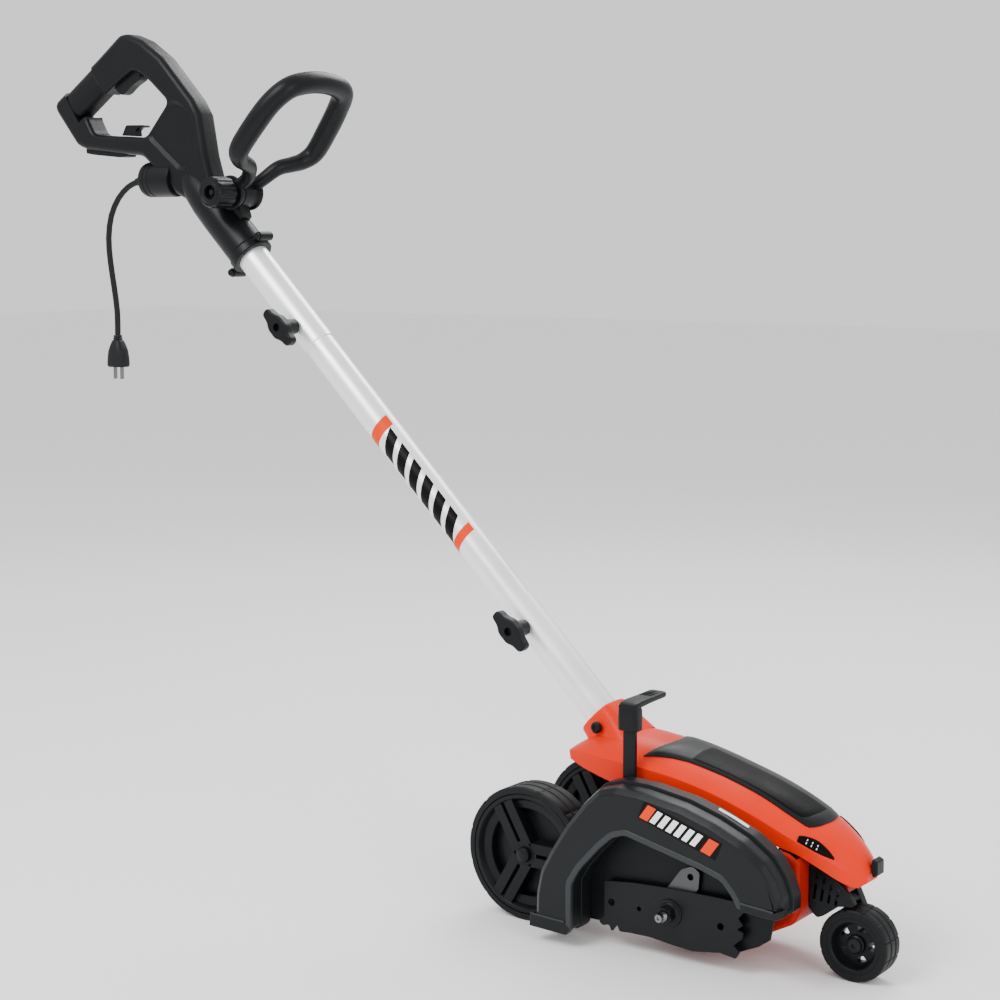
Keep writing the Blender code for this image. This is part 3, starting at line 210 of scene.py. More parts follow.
ALONG_SHAFT = ((0, SHAFT_TILT, 0), (0.05, 1, 1))
LOOKS = {
    "orange": look("orange_plastic", (0.72, 0.018, 0.0006), 0.34, grain=(900, 0.05), shine=0.1),
    "red": look("red_orange_plastic", (0.34, 0.007, 0.001), 0.38, grain=(900, 0.06), shine=0.08),
    "black": look("black_plastic", (0.0042, 0.0052, 0.006), 0.36, grain=(1300, 0.2), shine=0.16),
    "guard": look("charcoal_plastic", (0.0058, 0.0072, 0.0082), 0.34, grain=(1500, 0.18), shine=0.18),
    # edge: a lighter charcoal for the guard's arch rim and foot edges, a painted highlight along edges
    # that catch the light
    "edge": look("painted_highlight_charcoal", (0.022, 0.025, 0.027), 0.34, grain=(1500, 0.15), shine=0.25),
    # edge_soft: a satin black lighter than the matt field, for the inlay panel: partly the panel's own
    # finish, partly painted highlight where it shows past the field on the far side
    "edge_soft": look("satin_black_and_painted_highlight", (0.006, 0.007, 0.008), 0.36, grain=(1500, 0.15), shine=0.14),
    "gloss": look("matt_black", (0.0022, 0.0025, 0.0028), 0.42, grain=(1800, 0.1), shine=0.05),
    "tyre": look("tyre_rubber", (0.0042, 0.005, 0.0056), 0.5, grain=(900, 0.35), shine=0.18),
    "grip": look("soft_grip", (0.0036, 0.0042, 0.0048), 0.5, grain=(2200, 0.45), shine=0.15),
    "cord": look("cord_rubber", (0.006, 0.0068, 0.0074), 0.5, grain=(1600, 0.2), shine=0.2),
    "tube": look("satin_aluminium", (0.92, 0.93, 0.94), 0.34, 0.55, (420, 0.05), 0.03, 0.5, ALONG_SHAFT),
    "cast": look("cast_aluminium", (0.1, 0.102, 0.105), 0.46, 0.9, (1400, 0.4)),
    "steel": look("ground_steel", (0.2, 0.205, 0.21), 0.3, 1.0, (600, 0.1)),
    "dark_steel": look("blackened_steel", (0.0052, 0.006, 0.0068), 0.36, 0.0, (800, 0.2), 0.2, 0.2),
    "copper": look("copper_winding", (0.62, 0.26, 0.11), 0.34, 0.9, (900, 0.4), 0.2),
    # white: print on the guard's badge, and painted highlight for the strokes on the vent panels
    "white": look("white_print_and_painted_highlight", (0.95, 0.95, 0.95), 0.45, tint=0.03),
    "print_black": look("black_print", (0.0025, 0.0025, 0.003), 0.35, tint=0.2, shine=0.1),
    "print_orange": look("orange_print", (0.75, 0.04, 0.002), 0.4, tint=0.08, shine=0.1),
}


# ---- mesh helpers


def new_object(name, bm):
    bmesh.ops.remove_doubles(bm, verts=bm.verts, dist=1e-7)
    bmesh.ops.recalc_face_normals(bm, faces=bm.faces)
    mesh = bpy.data.meshes.new(name)
    bm.to_mesh(mesh)
    bm.free()
    return linked(name, mesh)


def rounded(obj, width, segments=3, angle=30):
    """Bevels every edge sharper than an angle."""
    bm = bmesh.new()
    bm.from_mesh(obj.data)
    limit = math.radians(angle)
    edges = [e for e in bm.edges if len(e.link_faces) == 2 and e.calc_face_angle(0) > limit]
    bmesh.ops.bevel(
        bm, geom=edges, offset=width, segments=segments, profile=0.5, affect="EDGES",
        clamp_overlap=True,
    )
    bm.to_mesh(obj.data)
    bm.free()
    return obj


def carved(obj, operation, *others):
    """One exact Boolean with each of the other objects, which are then removed."""
    for other in others:
        modifier = obj.modifiers.new("boolean", "BOOLEAN")
        modifier.operation = operation
        modifier.solver = "EXACT"
        modifier.object = other
        bpy.context.view_layer.update()
        graph = bpy.context.evaluated_depsgraph_get()
        mesh = bpy.data.meshes.new_from_object(obj.evaluated_get(graph))
        obj.modifiers.clear()
        obj.data = mesh
        bpy.data.objects.remove(other, do_unlink=True)
    return obj


def shown(obj, look_name, *stands_for, body=None, angle=32, slot=None):
    """Puts a finished piece in the frame, on the body of the CAD node that it stands for."""
    mesh = obj.data
    mesh.transform(Matrix.Translation(ORIGIN))
    mesh.materials.clear()
    mesh.materials.append(LOOKS[look_name])
    mesh.shade_smooth()
    mesh.set_sharp_from_angle(angle=math.radians(angle))
    obj.modifiers.new("normals", "WEIGHTED_NORMAL").keep_sharp = True
    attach(obj, body or frame["nodes"][stands_for[0]]["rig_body"])
    if stands_for:
        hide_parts(*stands_for)
    return obj


def lofted(name, rings, closed_loop=False):
    bm = bmesh.new()
    made = [[bm.verts.new(point) for point in ring] for ring in rings]
    pairs = list(zip(made, made[1:]))
    if closed_loop:
        pairs.append((made[-1], made[0]))
    for first, second in pairs:
        for i in range(len(first)):
            j = (i + 1) % len(first)
            bm.faces.new((first[i], first[j], second[j], second[i]))
    if not closed_loop:
        bm.faces.new(list(reversed(made[0])))
        bm.faces.new(made[-1])
    return new_object(name, bm)


def turned(name, profile, centre, steps=64, axis=ALONG_Y, wobble=None):
    """Turns a closed profile of (radius, distance) points; wobble changes a radius by its angle."""
    axis = Vector(axis).normalized()
    side = axis.orthogonal().normalized()
    other = axis.cross(side)
    rings = []
    for step in range(steps):
        angle = 2 * math.pi * step / steps
        out = side * math.cos(angle) + other * math.sin(angle)
        ring = []
        for radius, along in profile:
            if wobble:
                radius = wobble(radius, along, step)
            ring.append(Vector(centre) + out * radius + axis * along)
        rings.append(ring)
    obj = lofted(name, rings, closed_loop=True)
    bm = bmesh.new()
    bm.from_mesh(obj.data)
    bmesh.ops.dissolve_degenerate(bm, edges=bm.edges, dist=1e-7)
    bmesh.ops.delete(bm, geom=[e for e in bm.edges if not e.link_faces], context="EDGES")
    bm.to_mesh(obj.data)
    bm.free()
    return obj


def both_sides(profile):
    """A profile followed by its mirror image in the middle plane."""
    return profile + [(radius, -along) for radius, along in reversed(profile)]


def rod(name, start, end, radius, steps=48):
    start, end = Vector(start), Vector(end)
    length = (end - start).length
    return turned(name, [(0, 0), (radius, 0), (radius, length), (0, length)], start, steps, end - start)


def bore(centre, radius, steps=32, reach=0.1):
    """A cutter along Y through a point."""
    return rod("bore", centre - ALONG_Y * reach, centre + ALONG_Y * reach, radius, steps)


def prism(name, outline, low, high):
    bm = bmesh.new()
    face = bm.faces.new([bm.verts.new((x, low, z)) for x, z in outline])
    moved = bmesh.ops.extrude_face_region(bm, geom=[face])
    verts = [item for item in moved["geom"] if isinstance(item, bmesh.types.BMVert)]
    bmesh.ops.translate(bm, verts=verts, vec=(0, high - low, 0))
    return new_object(name, bm)


def flat_ring(outline, y):
    return [Vector((x, y, z)) for x, z in outline]


def seen_flat(points):
    """(x, z) of each point."""
    return [(point.x, point.z) for point in points]


def block(name, low, high):
    outline = [(low[0], low[2]), (high[0], low[2]), (high[0], high[2]), (low[0], high[2])]
    return prism(name, outline, low[1], high[1])


def arc(x, z, radius, start, end, steps):
    angles = [math.radians(start + (end - start) * i / steps) for i in range(steps + 1)]
    return [(x + radius * math.cos(a), z + radius * math.sin(a)) for a in angles]


def bar_outline(x0, z0, r0, x1, z1, r1, steps=12):
    heading = math.degrees(math.atan2(z1 - z0, x1 - x0))
    return arc(x0, z0, r0, heading + 90, heading + 270, steps) + arc(
        x1, z1, r1, heading - 90, heading + 90, steps
    )


def moved_outline(outline, distance, closed=True):
    """The outline moved inwards by a distance, or outwards by a negative one."""
    count = len(outline)
    points = [Vector(point) for point in outline]
    area = sum(points[i].cross(points[(i + 1) % count]) for i in range(count))
    turn = 1 if area > 0 else -1
    result = []
    for i in range(count):
        before = points[i] - points[i - 1] if closed or i else points[1] - points[0]
        last = not closed and i == count - 1
        after = before if last else points[(i + 1) % count] - points[i]
        before, after = before.normalized(), after.normalized()
        normal_before = Vector((-before.y, before.x)) * turn
        normal_after = Vector((-after.y, after.x)) * turn
        middle = (normal_before + normal_after).normalized()
        result.append(tuple(points[i] + middle * distance / max(middle.dot(normal_after), 0.5)))
    return result


def soft_corners(outline, radius, steps=5):
    """The outline with each corner replaced by an arc-like curve, as far as its sides allow."""
    count = len(outline)
    points = [Vector(point) for point in outline]
    result = []
    for i in range(count):
        corner, before, after = points[i], points[i - 1], points[(i + 1) % count]
        reach = min(radius, (before - corner).length * 0.45, (after - corner).length * 0.45)
        start = corner + (before - corner).normalized() * reach
        end = corner + (after - corner).normalized() * reach
        for step in range(steps + 1):
            t = step / steps
            point = start * (1 - t) ** 2 + corner * 2 * t * (1 - t) + end * t**2
            result.append(tuple(point))
    return result


def smooth_path(points, steps):
    """Points read from a Catmull-Rom curve through the given points, of any dimension."""
    points = [Vector(point) for point in points]
    ends = [points[0] * 2 - points[1]] + points + [points[-1] * 2 - points[-2]]
    path = []
    for a, b, c, d in zip(ends, ends[1:], ends[2:], ends[3:]):
        for step in range(steps):
            t = step / steps
            path.append(
                0.5 * (2 * b + (c - a) * t + (2 * a - 5 * b + 4 * c - d) * t**2
                       + (3 * b - a - 3 * c + d) * t**3)
            )
    return path + [points[-1]]


def swept(name, path, radii, steps=24, flat=1.0):
    tangents = []
    for i in range(len(path)):
        before, after = path[max(i - 1, 0)], path[min(i + 1, len(path) - 1)]
        tangents.append((after - before).normalized())
    side = tangents[0].orthogonal().normalized()
    rings = []
    for point, tangent, radius in zip(path, tangents, radii):
        side = (side - tangent * side.dot(tangent)).normalized()
        other = tangent.cross(side)
        angles = [2 * math.pi * i / steps for i in range(steps)]
        ring = [point + (side * math.cos(a) + other * math.sin(a) * flat) * radius for a in angles]
        rings.append(ring)
    return lofted(name, rings)


def superellipse(centre, across, up, half_across, half_up, power=4.0, steps=40):
    ring = []
    for i in range(steps):
        angle = 2 * math.pi * i / steps
        c, s = math.cos(angle), math.sin(angle)
        y = math.copysign(abs(c) ** (2 / power), c) * half_across
        z = math.copysign(abs(s) ** (2 / power), s) * half_up
        ring.append(centre + across * y + up * z)
    return ring


def stacked(name, stations, across, up, power, steps=40):
    """A loft through superellipses at (centre, half across, half up)."""
    rings = [superellipse(centre, across, up, a, b, power, steps) for centre, a, b in stations]
    return lofted(name, rings)


# ---- hood

# The power that shapes the crown's arch
HOOD_ARCH = 2.3
# x, half width, lower edge, crease and crown
HOOD_STATIONS = mm(
    (54, 57, 203.5, 215, 221), (75, 62.5, 197, 216.5, 233), (110, 65.5, 188, 214, 237),
    (150, 66, 180, 211.5, 233.5), (200, 65.5, 170, 205.5, 225), (250, 64.5, 160, 194.5, 212.2),
    (300, 62.5, 150, 177.5, 197.5), (345, 57, 141, 157, 179.5), (375, 49, 126, 142, 163.5),
    (398, 38, 111, 127, 147), (412, 25, 104, 118, 133), (418.5, 13, 108, 115, 122),
)
HOOD_CURVE = smooth_path(HOOD_STATIONS, 5)
ARCH_STEPS = 12


def hood_at(x):
    """The hood's five station values at any x."""
    for a, b in zip(HOOD_CURVE, HOOD_CURVE[1:]):
        if x <= b[0]:
            break
    share = (x - a[0]) / (b[0] - a[0])
    return [p + (q - p) * share for p, q in zip(a, b)]


def hood_section(x, inset=0.0):
    """(y, z) points of the hood's outer surface, from the right lower edge over the crown."""
    _, half, base, crease, crown = hood_at(x)
    half, crown, crease = half - inset, crown - inset, crease - inset / 2
    right = [(half * 0.95, base), (half * 0.985, base + (crease - base) * 0.6), (half, crease)]
    for step in range(ARCH_STEPS):
        share = math.cos(math.pi / 2 * (step + 0.5) / (ARCH_STEPS + 0.5))
        right.append((half * share, crease + (crown - crease) * (1 - share**HOOD_ARCH)))
    left = list(reversed(right))
    return [(-y, z) for y, z in right] + [(0, crown)] + left


def hood_top(x, y):
    section = hood_section(x)
    middle = len(section) // 2
    side = section[middle:]
    for (y0, z0), (y1, z1) in zip(side, side[1:]):
        if abs(y) <= y1:
            return z0 + (z1 - z0) * (abs(y) - y0) / max(y1 - y0, 1e-9)
    return side[-1][1]


def make_hood():
    rear, front = HOOD_STATIONS[0][0], HOOD_STATIONS[-1][0]
    rings = []
    for back, inset in ((0.0014, 0.0022), (0.0008, 0.0006)):
        rings.append([Vector((rear - back, y, z)) for y, z in hood_section(rear, inset)])
    count = 60
    for i in range(count + 1):
        x = rear + (front - rear) * (i / count)
        rings.append([Vector((x, y, z)) for y, z in hood_section(x)])
    hood = lofted("hood_shell", rings)
    carved(hood, JOIN, socket_boss())
    below = mm((45, 204.5), (100, 190.2), (345, 141), (412, 102.6), (412, 50), (45, 50))
    shaft_bore = rod("bore", on_shaft(-0.24), on_shaft(-0.1), OUTER_TUBE + 0.0003)
    carved(hood, CUT, shaft_bore, prism("below", below, -0.0545, 0.0545))
    shown(hood, "orange", "hood", slot="orange_plastic", angle=22)


def socket_boss():
    """The socket that the lower tube enters, with a rolled lip."""
    rings = []
    for station, across, up, power in (
        (-0.1755, 0.0215, 0.0215, 2.2), (SOCKET_MOUTH, 0.0228, 0.0228, 2.6),
        (SOCKET_MOUTH, 0.0246, 0.0246, 3.2), (SOCKET_MOUTH - 0.0008, 0.0256, 0.0256, 3.6),
        (SOCKET_MOUTH - 0.0026, 0.0262, 0.0262, 4.0), (SOCKET_MOUTH - 0.01, 0.0276, 0.0268, 4.0),
        (SOCKET_MOUTH - 0.02, 0.03, 0.028, 4.0), (SOCKET_MOUTH - 0.035, 0.0345, 0.0292, 4.0),
        (SOCKET_MOUTH - 0.05, 0.04, 0.03, 4.0),
    ):
        rings.append(superellipse(on_shaft(station), ALONG_Y, SHAFT_TOP, across, up, power))
    return lofted("socket_boss", rings)


def surface_patch(name, stations, under, top, across=12):
    """A patch lying on the hood, from stations of (x, first y, last y), with rounded edges."""
    grid = []
    for x, first, last in smooth_path(stations, 4):
        grid.append([(x, first + (last - first) * j / across) for j in range(across + 1)])
    return hood_patch(name, grid, under, top)


def hood_patch(name, grid, under, top):
    """A patch lying on the hood over rows of (x, y) points, with its rim thinned."""
    rings = []
    for i, row in enumerate(grid):
        end_fall = min(i, len(grid) - 1 - i, 2) / 2
        ring = []
        for j, (x, y) in enumerate(row):
            side_fall = min(j, len(row) - 1 - j, 1)
            lift = under + (top - under) * min(0.5 + 0.5 * side_fall, 0.5 + 0.5 * end_fall)
            ring.append(Vector((x, y, hood_top(x, y) + lift)))
        floor = [Vector((p.x, p.y, p.z - 0.004)) for p in reversed(ring)]
        rings.append(ring + floor)
    return lofted(name, rings)


# Half width of the inlay along the hood, as (x, half) points
INLAY_HALF = mm(
    (150, 53.5), (165, 48), (185, 42), (206, 38.2), (250, 35.5), (290, 36), (328, 37.2), (352, 36.2),
    (370, 30),
)


def inlay_half(x):
    for (x0, h0), (x1, h1) in zip(INLAY_HALF, INLAY_HALF[1:]):
        if x <= x1:
            break
    return h0 + (h1 - h0) * (x - x0) / (x1 - x0)


def inlay_grid(margin, rear, front, far_share, rows=44, columns=24):
    """Rows of (x, y) points inside the inlay's outline: rear and front are x at the middle."""
    grid = []
    for i in range(rows + 1):
        row = []
        for j in range(columns + 1):
            v = -1 + (1 + far_share) * j / columns
            start = rear - 0.019 * abs(v) ** 1.4 if margin == 0 else rear
            end = front - 0.008 * v**2 - 0.02 * max(abs(v) - 0.8, 0)
            x = start + (end - start) * i / rows
            row.append((x, v * (inlay_half(x) - margin)))
        grid.append(row)
    return grid


def make_inlay():
    """Black panel on the crown with a matt field set in it; the panel's lighter black, showing past the
    field on the far side, is partly painted highlight.
    """
    panel = hood_patch("inlay_panel", inlay_grid(0, 0.172, 0.369, 1.0), 0.0002, 0.0026)
    shown(panel, "edge_soft", "hood_inlay", angle=45)
    field = hood_patch("inlay_field", inlay_grid(0.003, 0.2045, 0.3585, 0.45), 0.0016, 0.0031)
    shown(field, "gloss", body="chassis", angle=45)


def make_vents():
    """A black louvred panel on each shoulder, with three pairs of short white strokes on it, a painted
    highlight where light catches its slots.
    """
    edges = mm(
        (352.5, 49.7, 54.8), (360, 44.8, 53), (370, 40.2, 50), (380, 38.6, 45.5), (390, 38.2, 39.2),
    )
    for name, node, side in (
        ("vent_right", "vent_panel_right", -1), ("vent_left", "vent_panel_left", 1)
    ):
        stations = [(x, side * far, side * near) for x, near, far in edges]
        shown(surface_patch(name, stations, 0.0006, 0.0026, 8), "gloss", node, angle=50)
        for i in range(3):
            for row in range(2):
                x = 0.362 + 0.0055 * i
                near = 0.0474 - 0.0017 * i + 0.003 * row
                path = []
                for y in (near, near + 0.0008, near + 0.0016):
                    path.append(Vector((x, side * y, hood_top(x, y) + 0.0027)))
                # Each stroke is white: a painted highlight where light catches a slot.
                shown(swept("vent_slot_highlight", path, [0.00055] * 3, 8), "white", body="chassis")


def make_socket_bolt():
    centre = on_shaft(-0.188, 0.003)
    profile = mm(
        (0, 21.6), (3, 21.6), (3, 33.6), (7, 33.6), (7, 36.4), (6.4, 37.8), (5, 38.8), (3, 39),
        (2.4, 37.6), (0, 37.6),
    )
    shown(turned("socket_screw", profile, centre, 32, -ALONG_Y), "black", "socket_bolt")


# ---- lower housing and nose


PARTING = mm((50, 204.6), (100, 190.2), (345, 141), (412, 102.6))


def parting_height(x):
    for (x0, z0), (x1, z1) in zip(PARTING, PARTING[1:]):
        if x <= x1:
            break
    return z0 + (z1 - z0) * (x - x0) / (x1 - x0)


def make_lower_housing():
    outline = [
        (0.135, parting_height(0.135) - 0.0004), (0.135, 0.09), (0.168, 0.04), (0.186, 0.02),
        (0.245, 0.02), (0.301, 0.033), (0.352, 0.06), (0.358, 0.075),
        (0.358, parting_height(0.358) - 0.0004), (0.345, parting_height(0.345) - 0.0004),
    ]
    body = rounded(prism("housing_body", outline, -0.0605, 0.0605), 0.006, 4)
    tray = mm((350, 124), (402, 96.5), (402, 107.6), (350, 137.2))
    ear = arc(0.11, 0.15, 0.0155, 90, 270, 16)
    ear = [(0.1372, 0.1655)] + ear + [(0.1372, 0.1345)]
    carved(body, JOIN, rounded(prism("tray", tray, -0.028, 0.028), 0.002))
    for side in (-1, 1):
        low, high = sorted((side * 0.0505, side * 0.0602))
        carved(body, JOIN, rounded(prism("ear", ear, low, high), 0.001, 2))
    hollow = mm(
        (120, 300), (120, 175), (141, 120), (141, 92), (190, 26), (245, 24), (299, 37), (348, 63),
        (354, 77), (354, 300),
    )
    carved(
        body, CUT,
        prism("hollow", hollow, -0.0572, 0.0572),
        bore(PIVOT, 0.0064),
        rod("neck_hole", SPINDLE - ALONG_Y * 0.08, SPINDLE - ALONG_Y * 0.045, 0.0203),
    )
    for i in range(5):
        x = 0.196 + i * 0.024
        slot = bar_outline(x, 0.098, 0.0026, x + 0.006, 0.128, 0.0026)
        carved(body, CUT, prism("slot", slot, 0.05, 0.07))
    shown(body, "red", "lower_housing", slot="dark_orange_plastic")


def make_nose():
    outline = mm((418.5, 126), (421, 134.5), (427.2, 131.5), (427.5, 116), (421.5, 113))
    shown(rounded(prism("nose_catch", outline, -0.007, 0.011), 0.0014), "black", "nose_tab")


def make_front_arm():
    """A ribbed arm, cast in one with the plate that holds the front wheel's bolt."""
    outline = soft_corners(mm(
        (358.5, 115.5), (378, 105.2), (396, 92.5), (405.5, 84.2), (393.5, 82.5), (377, 69), (368, 65),
        (358.5, 78),
    ), 0.004, 3)
    arm = rounded(prism("arm", outline, -0.0355, 0.0125), 0.0012, 2, 40)
    leg = [(0.372, 0.1), (0.398, 0.098)] + arc(0.413, 0.041, 0.011, 45, -135, 14)
    carved(arm, JOIN, rounded(prism("leg", leg, 0.0012, 0.0128), 0.0012, 2, 40))
    for i in range(4):
        top, low = 0.107 - 0.0052 * i, 0.082 - 0.0028 * i
        x = 0.3625 + 0.0088 * i
        pocket = [(x, top), (x + 0.0062, top - 0.004), (x + 0.0062, low - 0.0025), (x, low)]
        carved(arm, CUT, prism("pocket", pocket, -0.05, -0.006))
    back = smooth_path(mm(
        (358.8, 123.5), (366, 125.2), (379, 120.5), (393, 111.5), (405.5, 100), (415, 88.5),
    ), 4)
    cheek = [tuple(point) for point in back] + mm(
        (412, 85), (395, 83.4), (378.5, 70.6), (366, 68), (358.8, 76),
    )
    plate = rounded(prism("cheek", cheek, -0.0368, -0.029), 0.0012, 3, 40)
    for i in range(4):
        x, top, low = 0.3655 + 0.0088 * i, 0.116 - 0.0048 * i, 0.088 - 0.001 * i
        slot = bar_outline(x, low, 0.0016, x + 0.0035, top, 0.0016)
        carved(plate, CUT, prism("slot", slot, -0.05, -0.02))
    carved(arm, JOIN, plate)
    carved(arm, CUT, bore(FRONT_WHEEL + ALONG_Y * 0.01, AXLE_BORE, reach=0.02))
    shown(arm, "black", "front_arm")


# ---- guard

GUARD_OUTLINE = mm(
    (46, 19), (47, 60), (53, 88), (67, 114), (88, 147), (114, 179), (134, 198), (157, 205), (193, 204),
    (245, 196), (285, 184), (323, 168), (351, 149), (366, 129), (374, 109), (374, 90), (366, 86),
    (319, 89), (310, 104), (297, 118), (271, 126), (174, 148), (158, 143), (141, 128), (114, 98),
    (102, 78), (102, 23), (96, 17),
)
ARCH_FROM, ARCH_TO = 17, 26
GUARD_FACE = -0.127
ARCH_RIM = -0.0075
GUARD_BACK = -0.0845


def guard_ring(inset, y):
    """The guard's outline at one depth: its outer side is moved in, and its arch stays."""
    moved = moved_outline(GUARD_OUTLINE, inset)
    arch = moved_outline(GUARD_OUTLINE, inset * 0.25)
    ring = []
    for i in range(len(GUARD_OUTLINE)):
        ring.append(arch[i] if ARCH_FROM <= i <= ARCH_TO else moved[i])
    return flat_ring(soft_corners(ring, 0.004, 3), y)


def make_guard():
    """A thick-edged shell: a skirt, a stepped shoulder and a chamfered face."""
    depths = [
        (0.0004, GUARD_BACK), (0.0, GUARD_BACK - 0.0006), (0.0, -0.102), (0.0006, -0.103),
        (0.003, -0.1036), (0.0034, -0.105), (0.0036, -0.118), (0.005, -0.1215),
        (0.01, -0.1262), (0.0112, GUARD_FACE + 0.0002), (0.0125, GUARD_FACE),
    ]
    shell = lofted("guard_shell", [guard_ring(inset, y) for inset, y in depths])
    hollow = moved_outline(GUARD_OUTLINE, 0.0045)
    blade_room = bore(SPINDLE - ALONG_Y * 0.0785, 0.103, 96, reach=0.02)
    carved(
        shell, CUT,
        prism("hollow", hollow, GUARD_FACE + 0.012, GUARD_BACK + 0.02), blade_room,
    )
    shown(shell, "guard", "blade_guard", slot="guard_plastic", angle=24)
    arch = GUARD_OUTLINE[ARCH_FROM:ARCH_TO + 1]
    outer = moved_outline(arch, ARCH_RIM, closed=False)
    border = soft_corners(arch + list(reversed(outer)), 0.005, 4)
    rim = rounded(prism("arch_rim", border, GUARD_FACE - 0.0006, GUARD_FACE + 0.006), 0.0016, 3)
    # The arch's raised rim is drawn in the lighter charcoal, a painted highlight along it.
    shown(rim, "edge", body="chassis")
    rear_foot = mm((45, 18.5), (46.2, 33), (93.5, 31), (101.2, 24.5), (95.5, 16.5))
    front_foot = mm((321.5, 88.5), (365.5, 86.2), (374.2, 90.5), (374, 99), (362, 94), (322, 97))
    for name, outline in (("rear_foot_lip", rear_foot), ("front_foot_lip", front_foot)):
        lip = rounded(prism(name, outline, GUARD_FACE - 0.0012, GUARD_FACE + 0.01), 0.0012, 3)
        shown(lip, "guard", body="chassis")
    # Thin lighter charcoal lines along the feet's ledges: painted highlight.
    for name, points in (
        ("rear_foot_painted_highlight", [(0.0468, 0.0338), (0.0935, 0.0318)]),
        ("front_foot_painted_highlight", [(0.3225, 0.0976), (0.362, 0.0948)]),
    ):
        path = [Vector((x, GUARD_FACE - 0.0004, z)) for x, z in points]
        shown(swept(name, path, [0.0011, 0.0011], 10), "edge", body="chassis")


def face_quad(name, corners, look_name, base=0.0005, thick=0.0002):
    """A thin printed panel, from a base height above the guard's face."""
    low = GUARD_FACE - base
    shown(prism(name, corners, low - thick, low), look_name, body="chassis")


def make_guard_print():
    """A generic badge: a black panel with slanted white bars between two orange blocks."""
    start, end = Vector((0.197, 0.1815)), Vector((0.2905, 0.1515))
    along = (end - start).normalized()
    up = Vector((-along.y, along.x))
    length = (end - start).length
    slant = 0.006

    def slab(low, high, height):
        points = [
            start + along * low - up * height, start + along * high - up * height,
            start + along * (high + slant) + up * height, start + along * (low + slant) + up * height,
        ]
        return [tuple(point) for point in points]

    panel = [start - along * 0.003 - up * 0.0108, end + along * 0.003 - up * 0.0108,
             end + along * 0.005 + up * 0.0108, start - along * 0.001 + up * 0.0108]
    face_quad("badge_panel", [tuple(p) for p in panel], "print_black", 0, 0.0005)
    for name, low, high in (
        ("badge_rear", -0.001, 0.01), ("badge_front", length - 0.017, length - 0.004)
    ):
        face_quad(name, slab(low, high, 0.0093), "print_orange")
    for i in range(6):
        low = 0.0125 + i * 0.0108
        face_quad("badge_bar", slab(low, low + 0.007, 0.0082), "white")
    line = [Vector((0.276, -0.0935, 0.1878)), Vector((0.295, -0.0935, 0.1811)),
            Vector((0.313, -0.0935, 0.1735))]
    shown(swept("ridge_mark", line, [0.0016] * 3, 10), "white", body="chassis")


# ---- blade and spindle


def make_blade():
    """Flat edger blade: a bellied lower edge with teeth at one end, and hooks on the other end."""
    outline = mm(
        (127, 79), (167, 83.5), (210, 85.5), (271, 86.5), (298, 86.2), (306, 84), (308.8, 75),
        (302, 67.5), (308.5, 60.5), (300.5, 54.5), (309, 52.5), (307.5, 45), (296.5, 35.5),
        (304.5, 29), (299.5, 20.5), (280, 23.5), (244, 18), (214, 20.5), (188, 23.5), (161, 23),
        (148, 22), (144.5, 29), (137.5, 20), (133.5, 27.5), (125, 25), (120, 29), (127, 37),
    )
    outline = soft_corners(outline, 0.0018, 2)
    blade = rounded(prism("blade", outline, -0.0945, -0.0915), 0.0005, 2, 20)
    for x, z, radius in mm((-77, -2, 4.2), (-40, -3, 2.8), (66, -3, 4.2), (0, 0, 6.4)):
        centre = SPINDLE + Vector((x, 0, z))
        carved(blade, CUT, bore(centre - ALONG_Y * 0.0925, radius, reach=0.0075))
    shown(blade, "dark_steel", "edger_blade")


def make_spindle_end():
    flange = mm(
        (6.3, -94.8), (16, -94.8), (16.3, -95.5), (15.8, -96.2), (12.8, -96.4), (12.2, -97.4),
        (11, -98.1), (6.3, -98.1),
    )
    shown(turned("flange_washer", flange, SPINDLE), "dark_steel", "outer_flange")
    nut = turned("hex_nut", mm((7.4, -98.4), (10.8, -98.4), (10.8, -108.5), (7.4, -108.5)),
                 SPINDLE, 6)
    chamfer = mm((5.5, -98), (10.8, -98), (10.8, -106.4), (9.2, -108.8), (5.5, -108.8))
    carved(nut, KEEP_COMMON, turned("chamfer", chamfer, SPINDLE, 48))
    shown(nut, "dark_steel", "blade_nut")
    shaft = mm((0, 12), (6, 12), (6, -98.5))
    for i in range(9):
        y = -0.099 - i * 0.002
        shaft += [(0.006, y), (0.0054, y - 0.001)]
    shaft += mm((4.6, -119), (2, -119), (1.4, -117.6), (0, -117.6))
    shown(turned("threaded_spindle", shaft, SPINDLE, 40), "steel", "spindle")


def make_lock_plate():
    x, z = SPINDLE.x, SPINDLE.z
    outline = soft_corners([
        (x - 0.008, z + 0.0245), (x + 0.014, z + 0.0245), (x + 0.034, z + 0.03),
        (x + 0.036, z + 0.052), (x + 0.026, z + 0.058), (x + 0.012, z + 0.052),
    ], 0.004)
    plate = rounded(prism("lock_plate", outline, -0.0895, -0.087), 0.0004, 2)
    carved(plate, CUT, bore(Vector((x + 0.024, 0, z + 0.045)), 0.004))
    shown(plate, "cast", "spindle_lock_plate")


# ---- wheels


def tread_wobble(outer, depth, period, groove):
    def wobble(radius, along, step):
        return radius - depth if radius > outer - 0.0012 and step % period < groove else radius

    return wobble


def make_tyre(name, node, centre, radius, inner, half):
    profile = both_sides([
        (inner, -half), (inner + 0.0022, -half), (radius - 0.0022, -half),
        (radius - 0.0006, -half + 0.0012), (radius, -half + 0.003), (radius, -half * 0.42),
        (radius - 0.0014, -half * 0.36), (radius - 0.0014, -half * 0.28), (radius, -half * 0.22),
    ])
    tyre = turned(name, profile, centre, 168, wobble=tread_wobble(radius, 0.0012, 14, 1))
    shown(tyre, "tyre", node, slot="tyre_rubber")


